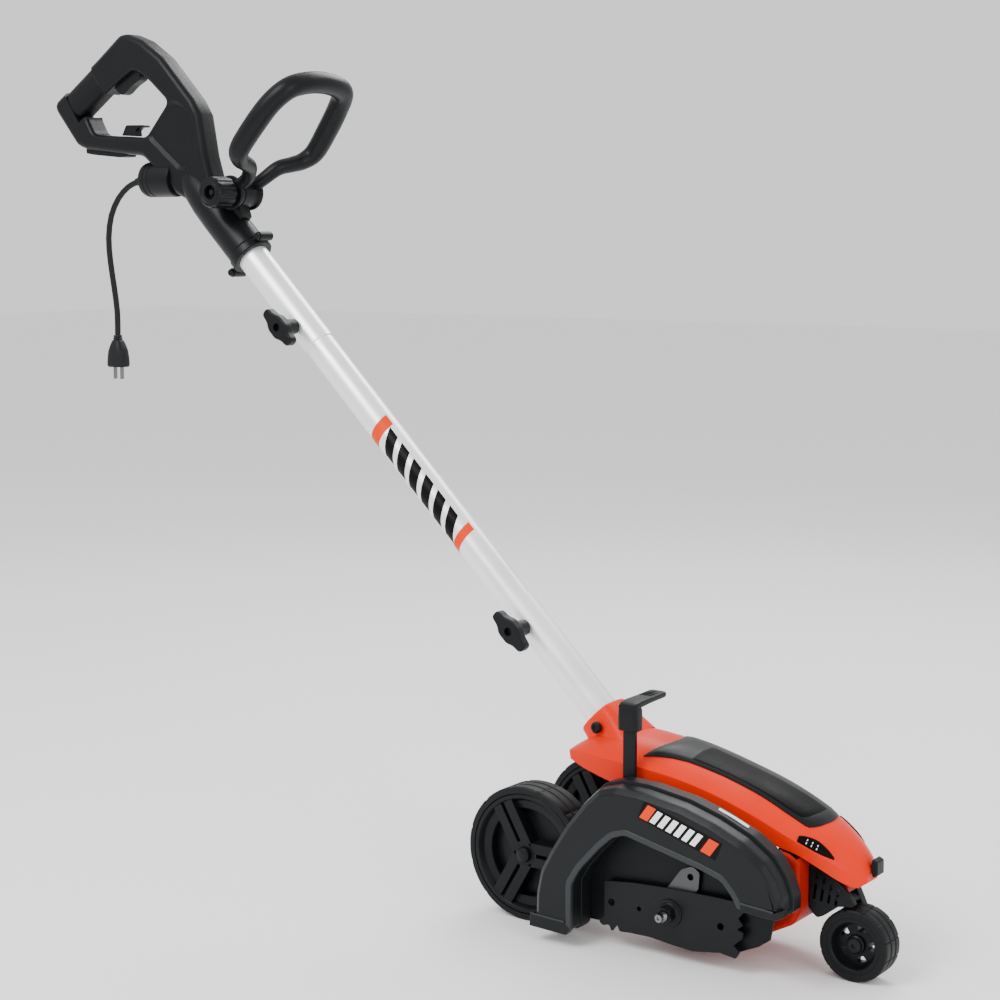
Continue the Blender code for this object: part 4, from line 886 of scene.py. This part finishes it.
def make_rear_wheel(side_name, y, outward):
    centre = Vector((0, y, REAR_RADIUS))
    half = 0.021
    rim = both_sides([
        (0.054, -half + 0.0085), (0.0555, -half + 0.0075), (0.064, -half + 0.0065),
        (0.0672, -half + 0.001), (0.0682, -half), (0.0722, -half), (0.0734, -half + 0.0012),
    ])
    wheel = turned("wheel_" + side_name, rim, centre, 120)
    hub = [(AXLE_BORE, -half), (0.0128, -half), (0.0145, -half + 0.0018), (0.0155, 0)]
    hub += [(0.0145, half - 0.0018), (0.0128, half), (AXLE_BORE, half)]
    dish = mm((10, -3.5), (56, -1.5), (56, 1.5), (10, 3.5))
    parts = [turned("hub", hub, centre, 48), turned("dish", dish, centre, 96)]
    for turn in (0, 120, 240):
        frame_turn = Matrix.Translation(centre) @ Matrix.Rotation(math.radians(turn), 4, "Y")
        outline = mm((4, -15), (66.8, -15), (66.8, 15), (4, 15))
        spoke = rounded(prism("spoke", outline, -half + 0.0005, half - 0.0005), 0.0012, 2)
        for low, high in ((-half - 0.01, -half + 0.009), (half - 0.009, half + 0.01)):
            carved(spoke, CUT, block("groove", (0.0165, low, -0.0024), (0.08, high, 0.0024)))
        spoke.data.transform(frame_turn)
        parts.append(spoke)
    carved(wheel, JOIN, *parts)
    carved(wheel, CUT, bore(centre, AXLE_BORE))
    shown(wheel, "black", "rear_wheel_" + side_name)
    make_tyre("tread_" + side_name, "rear_tyre_" + side_name, centre, REAR_RADIUS, 0.0738, half)
    start = centre + ALONG_Y * outward * (half + 0.0003)
    cap = mm(
        (0, 3), (0, 5.8), (3, 6), (6.2, 5.5), (8.5, 4.2), (9.4, 2.4), (9.5, 0.8), (5.2, 0.8), (5.2, 3),
    )
    cap = turned("axle_cap_" + side_name, cap, start, 40, ALONG_Y * outward)
    shown(cap, "black", "hub_cap_" + side_name)


def make_front_wheel():
    """Small wheel with a dished centre, five windows and a screw."""
    centre = Vector((0.413, -0.018, FRONT_RADIUS))
    half = 0.018
    rim = [
        (AXLE_BORE, -0.0118), (0.0088, -0.012), (0.0105, -0.0108), (0.011, -0.007), (0.0225, -0.0062),
        (0.025, -0.01), (0.0262, -half + 0.001), (0.0272, -half), (0.0315, -half), (0.0315, half),
        (0.0272, half), (0.0262, half - 0.001), (0.0245, 0.006), (0.0225, 0.0035), (0.011, 0.004),
        (0.0105, half - 0.001), (AXLE_BORE, half),
    ]
    wheel = turned("wheel_front", rim, centre, 96)
    for i in range(5):
        turn = Matrix.Translation(centre) @ Matrix.Rotation(2 * math.pi * i / 5, 4, "Y")
        outline = arc(0, 0, 0.0208, -17, 17, 6) + arc(0, 0, 0.0145, 15, -15, 6)
        window = prism("window", outline, -0.03, 0.03)
        window.data.transform(turn)
        carved(wheel, CUT, window)
    shown(wheel, "black", "front_wheel")
    make_tyre("tread_front", "front_tyre", centre, FRONT_RADIUS, 0.0318, half)
    bolt = mm(
        (0, -32), (2.2, -32), (2.8, -33.5), (6, -33.4), (8, -32.5), (8.6, -30.8), (8.4, -30.3),
        (5, -30.3), (5, 16.5), (4.4, 17), (0, 17),
    )
    shown(turned("wheel_bolt", bolt, FRONT_WHEEL, 40), "dark_steel", "front_axle_bolt")


# ---- depth carriage and lever


def make_carriage():
    wheel_axis = Vector((0, 0, REAR_RADIUS))
    tube = [(AXLE_BORE, -0.0282), (0.0115, -0.0285), (0.0125, -0.027), (0.0125, 0.097), (0.0115, 0.0985),
            (AXLE_BORE, 0.0985)]
    carrier = turned("carrier", tube, wheel_axis, 48)
    barrel = mm((6.3, -50), (11.5, -50), (12.5, -48.8), (12.5, 48.8), (11.5, 50), (6.3, 50))
    bar = bar_outline(0, REAR_RADIUS, 0.011, 0.11, 0.15, 0.0118)
    web = bar_outline(0.004, REAR_RADIUS + 0.003, 0.004, 0.106, 0.147, 0.004)
    carved(
        carrier, JOIN,
        turned("barrel", barrel, PIVOT, 48),
        rounded(prism("right_arm", bar, -0.028, -0.018), 0.001, 2),
        rounded(prism("left_arm", bar, 0.038, 0.048), 0.001, 2),
        prism("web", web, -0.02, 0.04),
    )
    carved(carrier, CUT, bore(wheel_axis, AXLE_BORE, reach=0.2), bore(PIVOT, 0.0063, reach=0.2))
    shown(carrier, "black", "axle_carrier")


def make_lever():
    """Flat steel lever with a moulded handle whose paddle reaches over the hood."""
    crank = bar_outline(0.11, 0.15, 0.0125, 0.147, 0.186, 0.0078)
    lever = prism("lever", crank, -0.0785, -0.0735)
    stem = mm((141, 178), (157, 178), (157, 284), (141, 284))
    carved(lever, JOIN, prism("stem", stem, -0.0785, -0.0735))
    carved(lever, CUT, bore(PIVOT, 0.0063))
    shown(rounded(lever, 0.0007, 2, 40), "black", "depth_lever")

    stations = mm(
        (256, 11.8, 7.6), (256.8, 12.8, 8.6), (270, 13, 8.9), (280, 12.6, 8.8), (284, 11.2, 7.6),
    )
    stations = [(Vector((0.149, -0.076, z)), half_x, half_y) for z, half_x, half_y in stations]
    sleeve = stacked("lever_sleeve", stations, ALONG_X, ALONG_Y, 5)
    carved(sleeve, CUT, block("pocket", (0.1407, -0.0788, 0.2), (0.1573, -0.0732, 0.2843)))
    shown(sleeve, "black", body="depth_carriage")
    stations = mm(
        (-84.2, 283.5, 8.5, 1.5), (-83.8, 283.5, 11, 3), (-80, 284.5, 12.2, 4.4),
        (-70, 286, 12.2, 4.6), (-50, 286.8, 11.8, 4), (-33, 287.2, 11.6, 3.8), (-20, 287.6, 11.8, 4),
        (-15, 287.8, 11.2, 3.6), (-13.2, 287.8, 9, 1.8),
    )
    stations = [(Vector((0.149, y, z)), half_x, half_z) for y, z, half_x, half_z in stations]
    paddle = stacked("lever_paddle", stations, ALONG_X, ALONG_Z, 4)
    shown(paddle, "black", "lever_grip")
    for i in range(4):
        y = -0.042 + i * 0.006
        path = [Vector((0.1405, y, 0.2908)), Vector((0.149, y, 0.2914)), Vector((0.1575, y, 0.2908))]
        shown(swept("paddle_rib", path, [0.0007] * 3, 8), "black", body="depth_carriage")


# ---- shaft


def tube_piece(name, start, end, inner, outer, node):
    length = end - start
    profile = [(inner, 0.0004), (inner + 0.0003, 0), (outer - 0.0004, 0), (outer, 0.0005),
               (outer, length - 0.0005),
               (outer - 0.0004, length), (inner + 0.0003, length), (inner, length - 0.0004)]
    shown(turned(name, profile, on_shaft(start), 96, SHAFT), "tube", node, slot="shaft_aluminium")


def make_tubes():
    tube_piece("tube_lower", -0.228, 0.0, 0.02, OUTER_TUBE, "lower_tube")
    tube_piece("tube_middle", -0.045, UPPER_JOINT + 0.045, 0.0185, MIDDLE_TUBE, "middle_tube")
    tube_piece("tube_upper", UPPER_JOINT, 0.69, 0.02, OUTER_TUBE, "upper_tube")


def sleeve_print(name, start, end, first, last, look_name, lift, lean=0.0):
    """A printed patch on the middle tube between two stations and two angles, with slanted ends."""
    radius = MIDDLE_TUBE + lift
    steps = 20
    rings = []
    for i in range(steps + 1):
        angle = math.radians(first + (last - first) * i / steps)
        out = -ALONG_Y * math.cos(angle) + SHAFT_TOP * math.sin(angle)
        offset = lean * (i / steps - 0.5)
        near, far = on_shaft(start + offset), on_shaft(end + offset)
        rings.append([near + out * radius, far + out * radius, far + out * (radius - 0.0004),
                      near + out * (radius - 0.0004)])
    shown(lofted(name, rings), look_name, body="middle_shaft", angle=60)


def make_shaft_print():
    """A generic band on the shaft: two orange ends and slanted black bars between them."""
    sleeve_print("band_orange_low", 0.1, 0.112, -70, 70, "print_orange", 0.00025, 0.01)
    sleeve_print("band_orange_high", 0.276, 0.292, -70, 70, "print_orange", 0.00025, 0.01)
    for i in range(6):
        start = 0.12 + i * 0.0262
        sleeve_print("band_bar", start, start + 0.017, -38, 52, "print_black", 0.00022, 0.022)


def make_wing_knob(name, node, bolt_node, station):
    centre = on_shaft(station)

    def knob_prism(label, outline, low, high):
        points = [on_shaft(station + along, above) for along, above in outline]
        return prism(label, seen_flat(points), low, high)

    wings = soft_corners(
        mm(
            (-29, -6.2), (-16, -7.8), (-8, -13), (8, -13), (16, -7.8), (29, -6.2), (29, 6.2),
            (16, 7.8), (8, 13), (-8, 13), (-16, 7.8), (-29, 6.2),
        ), 0.006, 5)
    knob = rounded(knob_prism(name, wings, -0.0578, -0.044), 0.0024, 3)
    stem = mm((3.9, 23), (9.2, 23), (10, 24), (10, 40), (11.5, 45), (11.5, 56), (3.9, 56))
    carved(knob, JOIN, turned("stem", stem, centre, 40, -ALONG_Y))
    recess = mm((0, 52), (4.8, 52), (5.4, 58.5), (5.4, 62), (0, 62))
    carved(knob, CUT, turned("recess", recess, centre, 32, -ALONG_Y),
           rod("bore", centre - ALONG_Y * 0.0485, centre - ALONG_Y * 0.01, 0.0039, 32))
    shown(knob, "black", node)
    low, high = centre - ALONG_Y * 0.0475, centre - ALONG_Y * (MIDDLE_TUBE + 0.0003)
    shown(rounded(rod(name + "_bolt", low, high, 0.0036, 24), 0.0004, 2, 60), "steel", bolt_node)


def make_collar():
    profile = mm(
        (21.3, -6), (27, -6), (28.8, -4.8), (29, -3), (29, 3), (28.8, 4.8), (27.8, 6), (21.3, 6),
    )
    collar = turned("clamp_collar", profile, on_shaft(COLLAR), 72, SHAFT)
    for above in (0.0335, -0.0335):
        low, high = on_shaft(COLLAR, above, -0.012), on_shaft(COLLAR, above, 0.012)
        carved(collar, JOIN, rounded(rod("boss", low, high, 0.006, 32), 0.001, 2, 60))
        carved(collar, CUT,
               rod("hole", low - ALONG_Y * 0.01, high + ALONG_Y * 0.01, 0.0028, 24))
    shown(collar, "black", "tube_collar")
    for name, above in (("collar_bolt_top", 0.0335), ("collar_bolt_bottom", -0.0335)):
        low = on_shaft(COLLAR, above, -0.0153)
        bolt = mm(
            (0, 0.8), (2.2, 0.8), (2.6, 0), (4, 0), (4.5, 0.8), (4.5, 3), (2.5, 3), (2.5, 26.6),
            (2.1, 27), (0, 27),
        )
        shown(turned(name + "_head", bolt, low, 32), "dark_steel", name)


# ---- rear handle

HANDLE_OUTLINE = mm(
    (-704, 1085), (-690, 1084), (-665, 1075), (-629, 1051), (-574, 994), (-561, 974), (-551, 921),
    (-540, 886), (-552, 846), (-607, 871), (-655, 912), (-668, 922), (-695, 924), (-772, 932),
    (-791, 938), (-828, 982), (-835, 992), (-829, 1000), (-749, 1053),
)
HANDLE_OPENING = mm(
    (-728, 1011), (-681, 1037), (-654, 1023), (-617, 992), (-659, 946), (-757, 952), (-773, 979),
)
HANDLE_HALF = 0.0175
HOUSING_RADIUS = 0.027
GRIP_START = Vector((-0.706, 0, 1.081))
GRIP_ALONG = Vector((-0.826, 0, -0.564)).normalized()
GRIP_IN = Vector((-GRIP_ALONG.z, 0, GRIP_ALONG.x))
GRIP_FROM, GRIP_TO = 0.066, 0.128
GRIP_CENTRE = 0.0205
TRIGGER_ORIGIN = Vector((-0.7215, 0, 1.0135))
TRIGGER_ALONG = Vector((0.875, 0, 0.485)).normalized()
TRIGGER_IN = Vector((-TRIGGER_ALONG.z, 0, TRIGGER_ALONG.x))
INLET_START = Vector((-0.614, 0, 0.89))
INLET_RADIUS = 0.0235


def on_trigger(along, inward):
    return TRIGGER_ORIGIN + TRIGGER_ALONG * along + TRIGGER_IN * inward


def trigger_prism(name, outline, half):
    points = [on_trigger(*point) for point in outline]
    return prism(name, seen_flat(points), -half, half)


def grip_ring(along, half_across, half_in, power=3.0, steps=48):
    centre = GRIP_START + GRIP_ALONG * along + GRIP_IN * GRIP_CENTRE
    return superellipse(centre, ALONG_Y, GRIP_IN, half_across, half_in, power, steps)


def flared_cutter(outline, radius):
    """A cutter through the handle that rounds the opening's edges on both sides."""
    depths = []
    for step in range(6):
        angle = math.pi / 2 * step / 5
        depths.append((radius * (1 - math.cos(angle)), HANDLE_HALF - radius + radius * math.sin(angle)))
    profile = [(grow, depth) for grow, depth in depths] + [(radius, 0.05)]
    profile = [(grow, -depth) for grow, depth in reversed(profile)] + profile
    return lofted("opening", [flat_ring(moved_outline(outline, -grow), y) for grow, y in profile])


def make_handle_half(name, node, side):
    half = rounded(prism(name, HANDLE_OUTLINE, -HANDLE_HALF, HANDLE_HALF), 0.0085, 5)
    carved(half, CUT, flared_cutter(soft_corners(HANDLE_OPENING, 0.009, 5), 0.006))
    barrel = [
        (0, COLLAR + 0.0063), (0.0258, COLLAR + 0.0063), (HOUSING_RADIUS, COLLAR + 0.0078),
        (HOUSING_RADIUS, 0.668), (0.0262, 0.7), (0.0235, 0.725), (0.019, 0.744), (0, 0.752),
    ]
    carved(half, JOIN, turned("barrel", barrel, on_shaft(0), 72, SHAFT))
    low, high = sorted((side * 0.00012, side * -0.05))
    sleeve_rings = [grip_ring(GRIP_FROM, 0.03, 0.03), grip_ring(GRIP_TO, 0.03, 0.03),
                    grip_ring(GRIP_TO, 0.0142, 0.0172), grip_ring(GRIP_FROM, 0.0142, 0.0172)]
    web = soft_corners(mm(
        (-610, 990), (-590, 985), (-577, 962), (-572, 925), (-592, 903), (-632, 934), (-651, 949),
    ), 0.009, 5)
    web_depths = mm((14, 0), (14.6, 1), (17.6, 5.2), (30, 20))
    web_rings = [flat_ring(moved_outline(web, -grow), side * depth) for depth, grow in web_depths]
    room = [on_trigger(-0.0016, -0.01), on_trigger(0.0524, -0.01), on_trigger(0.0524, 0.016),
            on_trigger(-0.0016, 0.016)]
    carved(
        half, CUT,
        block("other_side", (-0.9, low, 0.7), (-0.4, high, 1.2)),
        lofted("sleeve_room", sleeve_rings, closed_loop=True),
        lofted("web", web_rings),
        rod("tube_room", on_shaft(0.55), on_shaft(0.6903), OUTER_TUBE + 0.0003, 72),
        rod("inlet_room", INLET_START + ALONG_X * 0.0003, INLET_START - ALONG_X * 0.085,
            INLET_RADIUS + 0.0003, 64),
        prism("trigger_room", seen_flat(room), -0.0093, 0.0093),
    )
    shown(half, "black", node, angle=30)


def make_grip():
    """Soft sleeve on the rear grip."""
    outer, count = [], 62
    for i in range(count + 1):
        along = GRIP_FROM + 0.0003 + (GRIP_TO - GRIP_FROM - 0.0006) * i / count
        edge = min(i, count - i)
        dip = 0.001 if edge < 1 else 0.0003 if edge < 2 else 0.0
        outer.append(grip_ring(along, 0.0178 - dip, 0.0212 - dip))
    inner = [grip_ring(GRIP_TO - 0.0003, 0.0145, 0.0175), grip_ring(GRIP_FROM + 0.0003, 0.0145, 0.0175)]
    shown(lofted("grip_sleeve", outer + inner, closed_loop=True), "grip", "grip_overmould",
          slot="soft_grip", angle=50)


def make_trigger():
    outline = soft_corners(mm(
        (0, 6), (0, -4), (4, -13), (11, -14.5), (28, -12.5), (45, -13.5), (50, -10), (50, 6),
    ), 0.004, 4)
    shown(rounded(trigger_prism("trigger_lever", outline, 0.0088), 0.0022, 4), "black", "trigger")


def make_cord_hook():
    outline = soft_corners(mm(
        (-713, 950.2), (-705, 964), (-671.8, 963.3), (-670.8, 960.4), (-683, 960), (-687.5, 956),
        (-686.2, 948.6),
    ), 0.002, 3)
    shown(rounded(prism("hook", outline, -0.006, 0.006), 0.0009, 2), "black", "cord_hook")


def make_inlet():
    """Round cable entry under the handle with a grooved rim."""
    profile = [(0.0046, 0), (0.0205, 0), (0.0228, 0.001), (INLET_RADIUS, 0.0035)]
    for start in (0.036, 0.044):
        profile += [(INLET_RADIUS, start), (0.0226, start + 0.0008), (0.0226, start + 0.0024),
                    (INLET_RADIUS, start + 0.0032)]
    profile += [(INLET_RADIUS, 0.052), (0.0224, 0.0548), (0.0195, 0.0563), (0.012, 0.0565),
                (0.0112, 0.0552), (0.0046, 0.0552)]
    shown(turned("cable_entry", profile, INLET_START, 80, -ALONG_X), "black", "cord_inlet")
    pad = soft_corners(mm(
        (-779, 927.5), (-779, 935), (-702, 928), (-702, 921.5), (-716, 920.8), (-765, 925.2),
    ), 0.002, 3)
    shown(rounded(prism("handle_foot_pad", pad, -0.0095, 0.0095), 0.001, 2), "black", body="handle")


# ---- cord and plug

CORD_DIAMETER = 0.008
CORD_EXIT = Vector((-0.6715, 0, 0.89))
CORD_ROUTE = mm(
    (-693, 0, 887), (-708, -1, 881), (-725, -3, 866), (-738, -5, 842), (-743, -6, 812),
    (-742, -5, 780), (-739, -2, 745), (-737, 1, 710), (-738, 2, 678),
)


def make_cord():
    bend = [CORD_EXIT, CORD_EXIT + Vector((-0.01, 0, -0.0004)), Vector((-0.6926, 0, 0.8872))]
    path = smooth_path(bend, 12)
    radii = []
    for i in range(len(path)):
        share = i / (len(path) - 1)
        groove = 0.0007 if i % 4 in (1, 2) and 2 < i < len(path) - 2 else 0.0
        radii.append(0.0088 - 0.0038 * share**0.8 - groove)
    relief = swept("bend_relief", path, radii, 28)
    shown(relief, "cord", "strain_relief", slot="soft_grip", angle=50)

    points = [p + ORIGIN for p in smooth_path(CORD_ROUTE, 2)]
    curve = bpy.data.curves.new("supply_cord", "CURVE")
    curve.dimensions = "3D"
    spline = curve.splines.new("POLY")
    spline.points.add(len(points) - 1)
    for slot, point in zip(spline.points, points):
        slot.co = (*point, 1)
    curve.bevel_depth = CORD_DIAMETER / 2
    curve.bevel_resolution = 5
    curve.use_fill_caps = True
    curve.materials.append(LOOKS["cord"])
    cord = linked("supply_cord", curve)
    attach(cord, "handle")
    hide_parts("power_cord")
    plug = make_plug()


def make_plug():
    end = Vector(CORD_ROUTE[-1]) - ALONG_Z * 0.0004
    stations = mm(
        (0, 5, 5), (1.5, 5.6, 5.6), (3, 4.8, 4.8), (4.5, 6.2, 6), (6, 5.4, 5.2), (7.5, 7.2, 6.8),
        (10, 8.5, 8), (16, 11.2, 9.8), (22, 13.5, 11), (30, 14.4, 12), (38, 15, 12.5),
        (42, 14.9, 12.4), (44, 13.8, 11.3),
    )
    stations = [(end - ALONG_Z * drop, half_x, half_y) for drop, half_x, half_y in stations]
    plug = stacked("supply_plug", stations, ALONG_X, ALONG_Y, 3, 36)
    shown(plug, "cord", "plug", slot="black_plastic", angle=45)
    for x in (-0.0064, 0.0064):
        low = end + Vector((x - 0.0008, -0.0032, -0.061))
        high = end + Vector((x + 0.0008, 0.0032, -0.0435))
        contact = rounded(block("plug_blade", low, high), 0.0003, 2)
        shown(contact, "steel", body="handle")
        contact.parent = plug
        contact.matrix_parent_inverse = Matrix.Identity(4)
    return plug


# ---- assist handle

# One side: x and z from the pivot, y from the middle, and tube radius
ASSIST_SIDE = mm(
    (10, 15.5, 8, 8.6), (28, 16.5, 19, 9), (42, 28, 32, 9.8), (50, 46, 37, 10.4), (56, 62, 42, 11.4),
    (67, 73.5, 54, 13.2), (90, 72, 82, 14), (112, 66.5, 108, 14), (130, 55, 126, 14),
    (137, 33, 134, 14),
)


def make_assist_handle():
    near = [(x, -y, z, r) for x, y, z, r in reversed(ASSIST_SIDE)]
    stations = ASSIST_SIDE + [(0.139, 0.0, 0.137, 0.014)] + near
    path = [ASSIST + p for p in smooth_path([s[:3] for s in stations], 8)]
    radii = [v.x for v in smooth_path([Vector((s[3], 0, 0)) for s in stations], 8)]
    handle = swept("assist_loop", path, radii, 28)
    for side in (-1, 1):
        profile = mm(
            (0, 10.1), (18.6, 10.1), (19, 10.6), (19.2, 15), (22.2, 16.8), (22.6, 17.6), (22.6, 20.2),
            (21.4, 21.4), (0, 21.5),
        )
        carved(handle, JOIN, turned("ear", profile, ASSIST, 56, ALONG_Y * side))
    carved(
        handle, CUT,
        bore(ASSIST, 0.0044),
        bore(ASSIST, 0.0262, 56, reach=0.01),
    )
    shown(handle, "black", "assist_handle", angle=40)


def make_assist_knob():
    """Fluted clamp knob with a deep round recess, its bolt and the bracket between the handle's ears."""
    def flutes(radius, along, step):
        in_flute = 0.0185 < radius and -0.0555 < along < -0.0275 and step % 8 < 3
        return radius - 0.0011 if in_flute else radius

    profile = mm(
        (4.4, -22.2), (15, -22.2), (17.2, -23), (17.6, -26.2), (20, -28), (20.5, -30), (20.5, -42),
        (20.5, -54.5), (19.6, -57.5), (17.8, -59.6), (15, -60), (13.6, -59.2), (12.8, -59.6),
        (10, -60), (9, -59), (8.8, -50), (4.4, -50),
    )
    shown(turned("clamp_knob", profile, ASSIST, 96, wobble=flutes), "black", "assist_knob")
    bolt = mm(
        (0, -56), (3.4, -56), (4, -55.2), (4, 22), (8.6, 22), (9, 22.6), (9, 26.2), (8.2, 27), (0, 27),
    )
    shown(turned("clamp_bolt", bolt, ASSIST, 40), "dark_steel", "assist_bolt")
    outline = mm((-30, 5), (-30, 31), (-16, 38), (16, 38), (20, 31), (20, 5))
    points = [on_shaft(0.668 + along, above) for along, above in outline]
    saddle = prism("bracket", seen_flat(points), -0.0095, 0.0095)
    lug = prism("lug", arc(ASSIST.x, ASSIST.z, 0.0195, 0, 352, 44), -0.0095, 0.0095)
    carved(saddle, JOIN, lug)
    rounded(saddle, 0.0009, 2)
    carved(
        saddle, CUT,
        rod("barrel_room", on_shaft(0.55), on_shaft(0.75), HOUSING_RADIUS + 0.0003, 72),
        bore(ASSIST, 0.0044),
    )
    shown(saddle, "black", "assist_bracket")


# ---- pieces kept as the CAD has them


def dress_cad_nodes():
    finishes = {
        "black": ("inner_guard", "cooling_fan", "power_switch"),
        "cast": ("gearbox_head",),
        "dark_steel": ("motor_stator", "inner_flange"),
        "copper": ("armature",),
        "steel": ("bevel_pinion", "bevel_gear", "rear_axle", "depth_shaft"),
    }
    for look_name, nodes in finishes.items():
        for node in nodes:
            obj = frame["nodes"][node]
            obj.data.materials.clear()
            obj.data.materials.append(LOOKS[look_name])


def main():
    for make in (
        set_camera, make_cord, set_light, add_floor, dress_cad_nodes, make_hood, make_inlay, make_vents,
        make_socket_bolt, make_lower_housing, make_nose, make_front_arm, make_guard, make_guard_print,
        make_blade, make_spindle_end, make_lock_plate,
    ):
        make()
    make_rear_wheel("right", -0.051, -1)
    make_rear_wheel("left", 0.121, 1)
    for make in (make_front_wheel, make_carriage, make_lever, make_tubes, make_shaft_print):
        make()
    make_wing_knob("knob_lower", "lower_wing_knob", "lower_knob_bolt", LOWER_KNOB)
    make_wing_knob("knob_upper", "upper_wing_knob", "upper_knob_bolt", UPPER_KNOB)
    make_collar()
    make_handle_half("handle_right", "handle_shell_right", -1)
    make_handle_half("handle_left", "handle_shell_left", 1)
    for make in (
        make_grip, make_trigger, make_cord_hook, make_inlet, make_assist_handle, make_assist_knob
    ):
        make()


main()
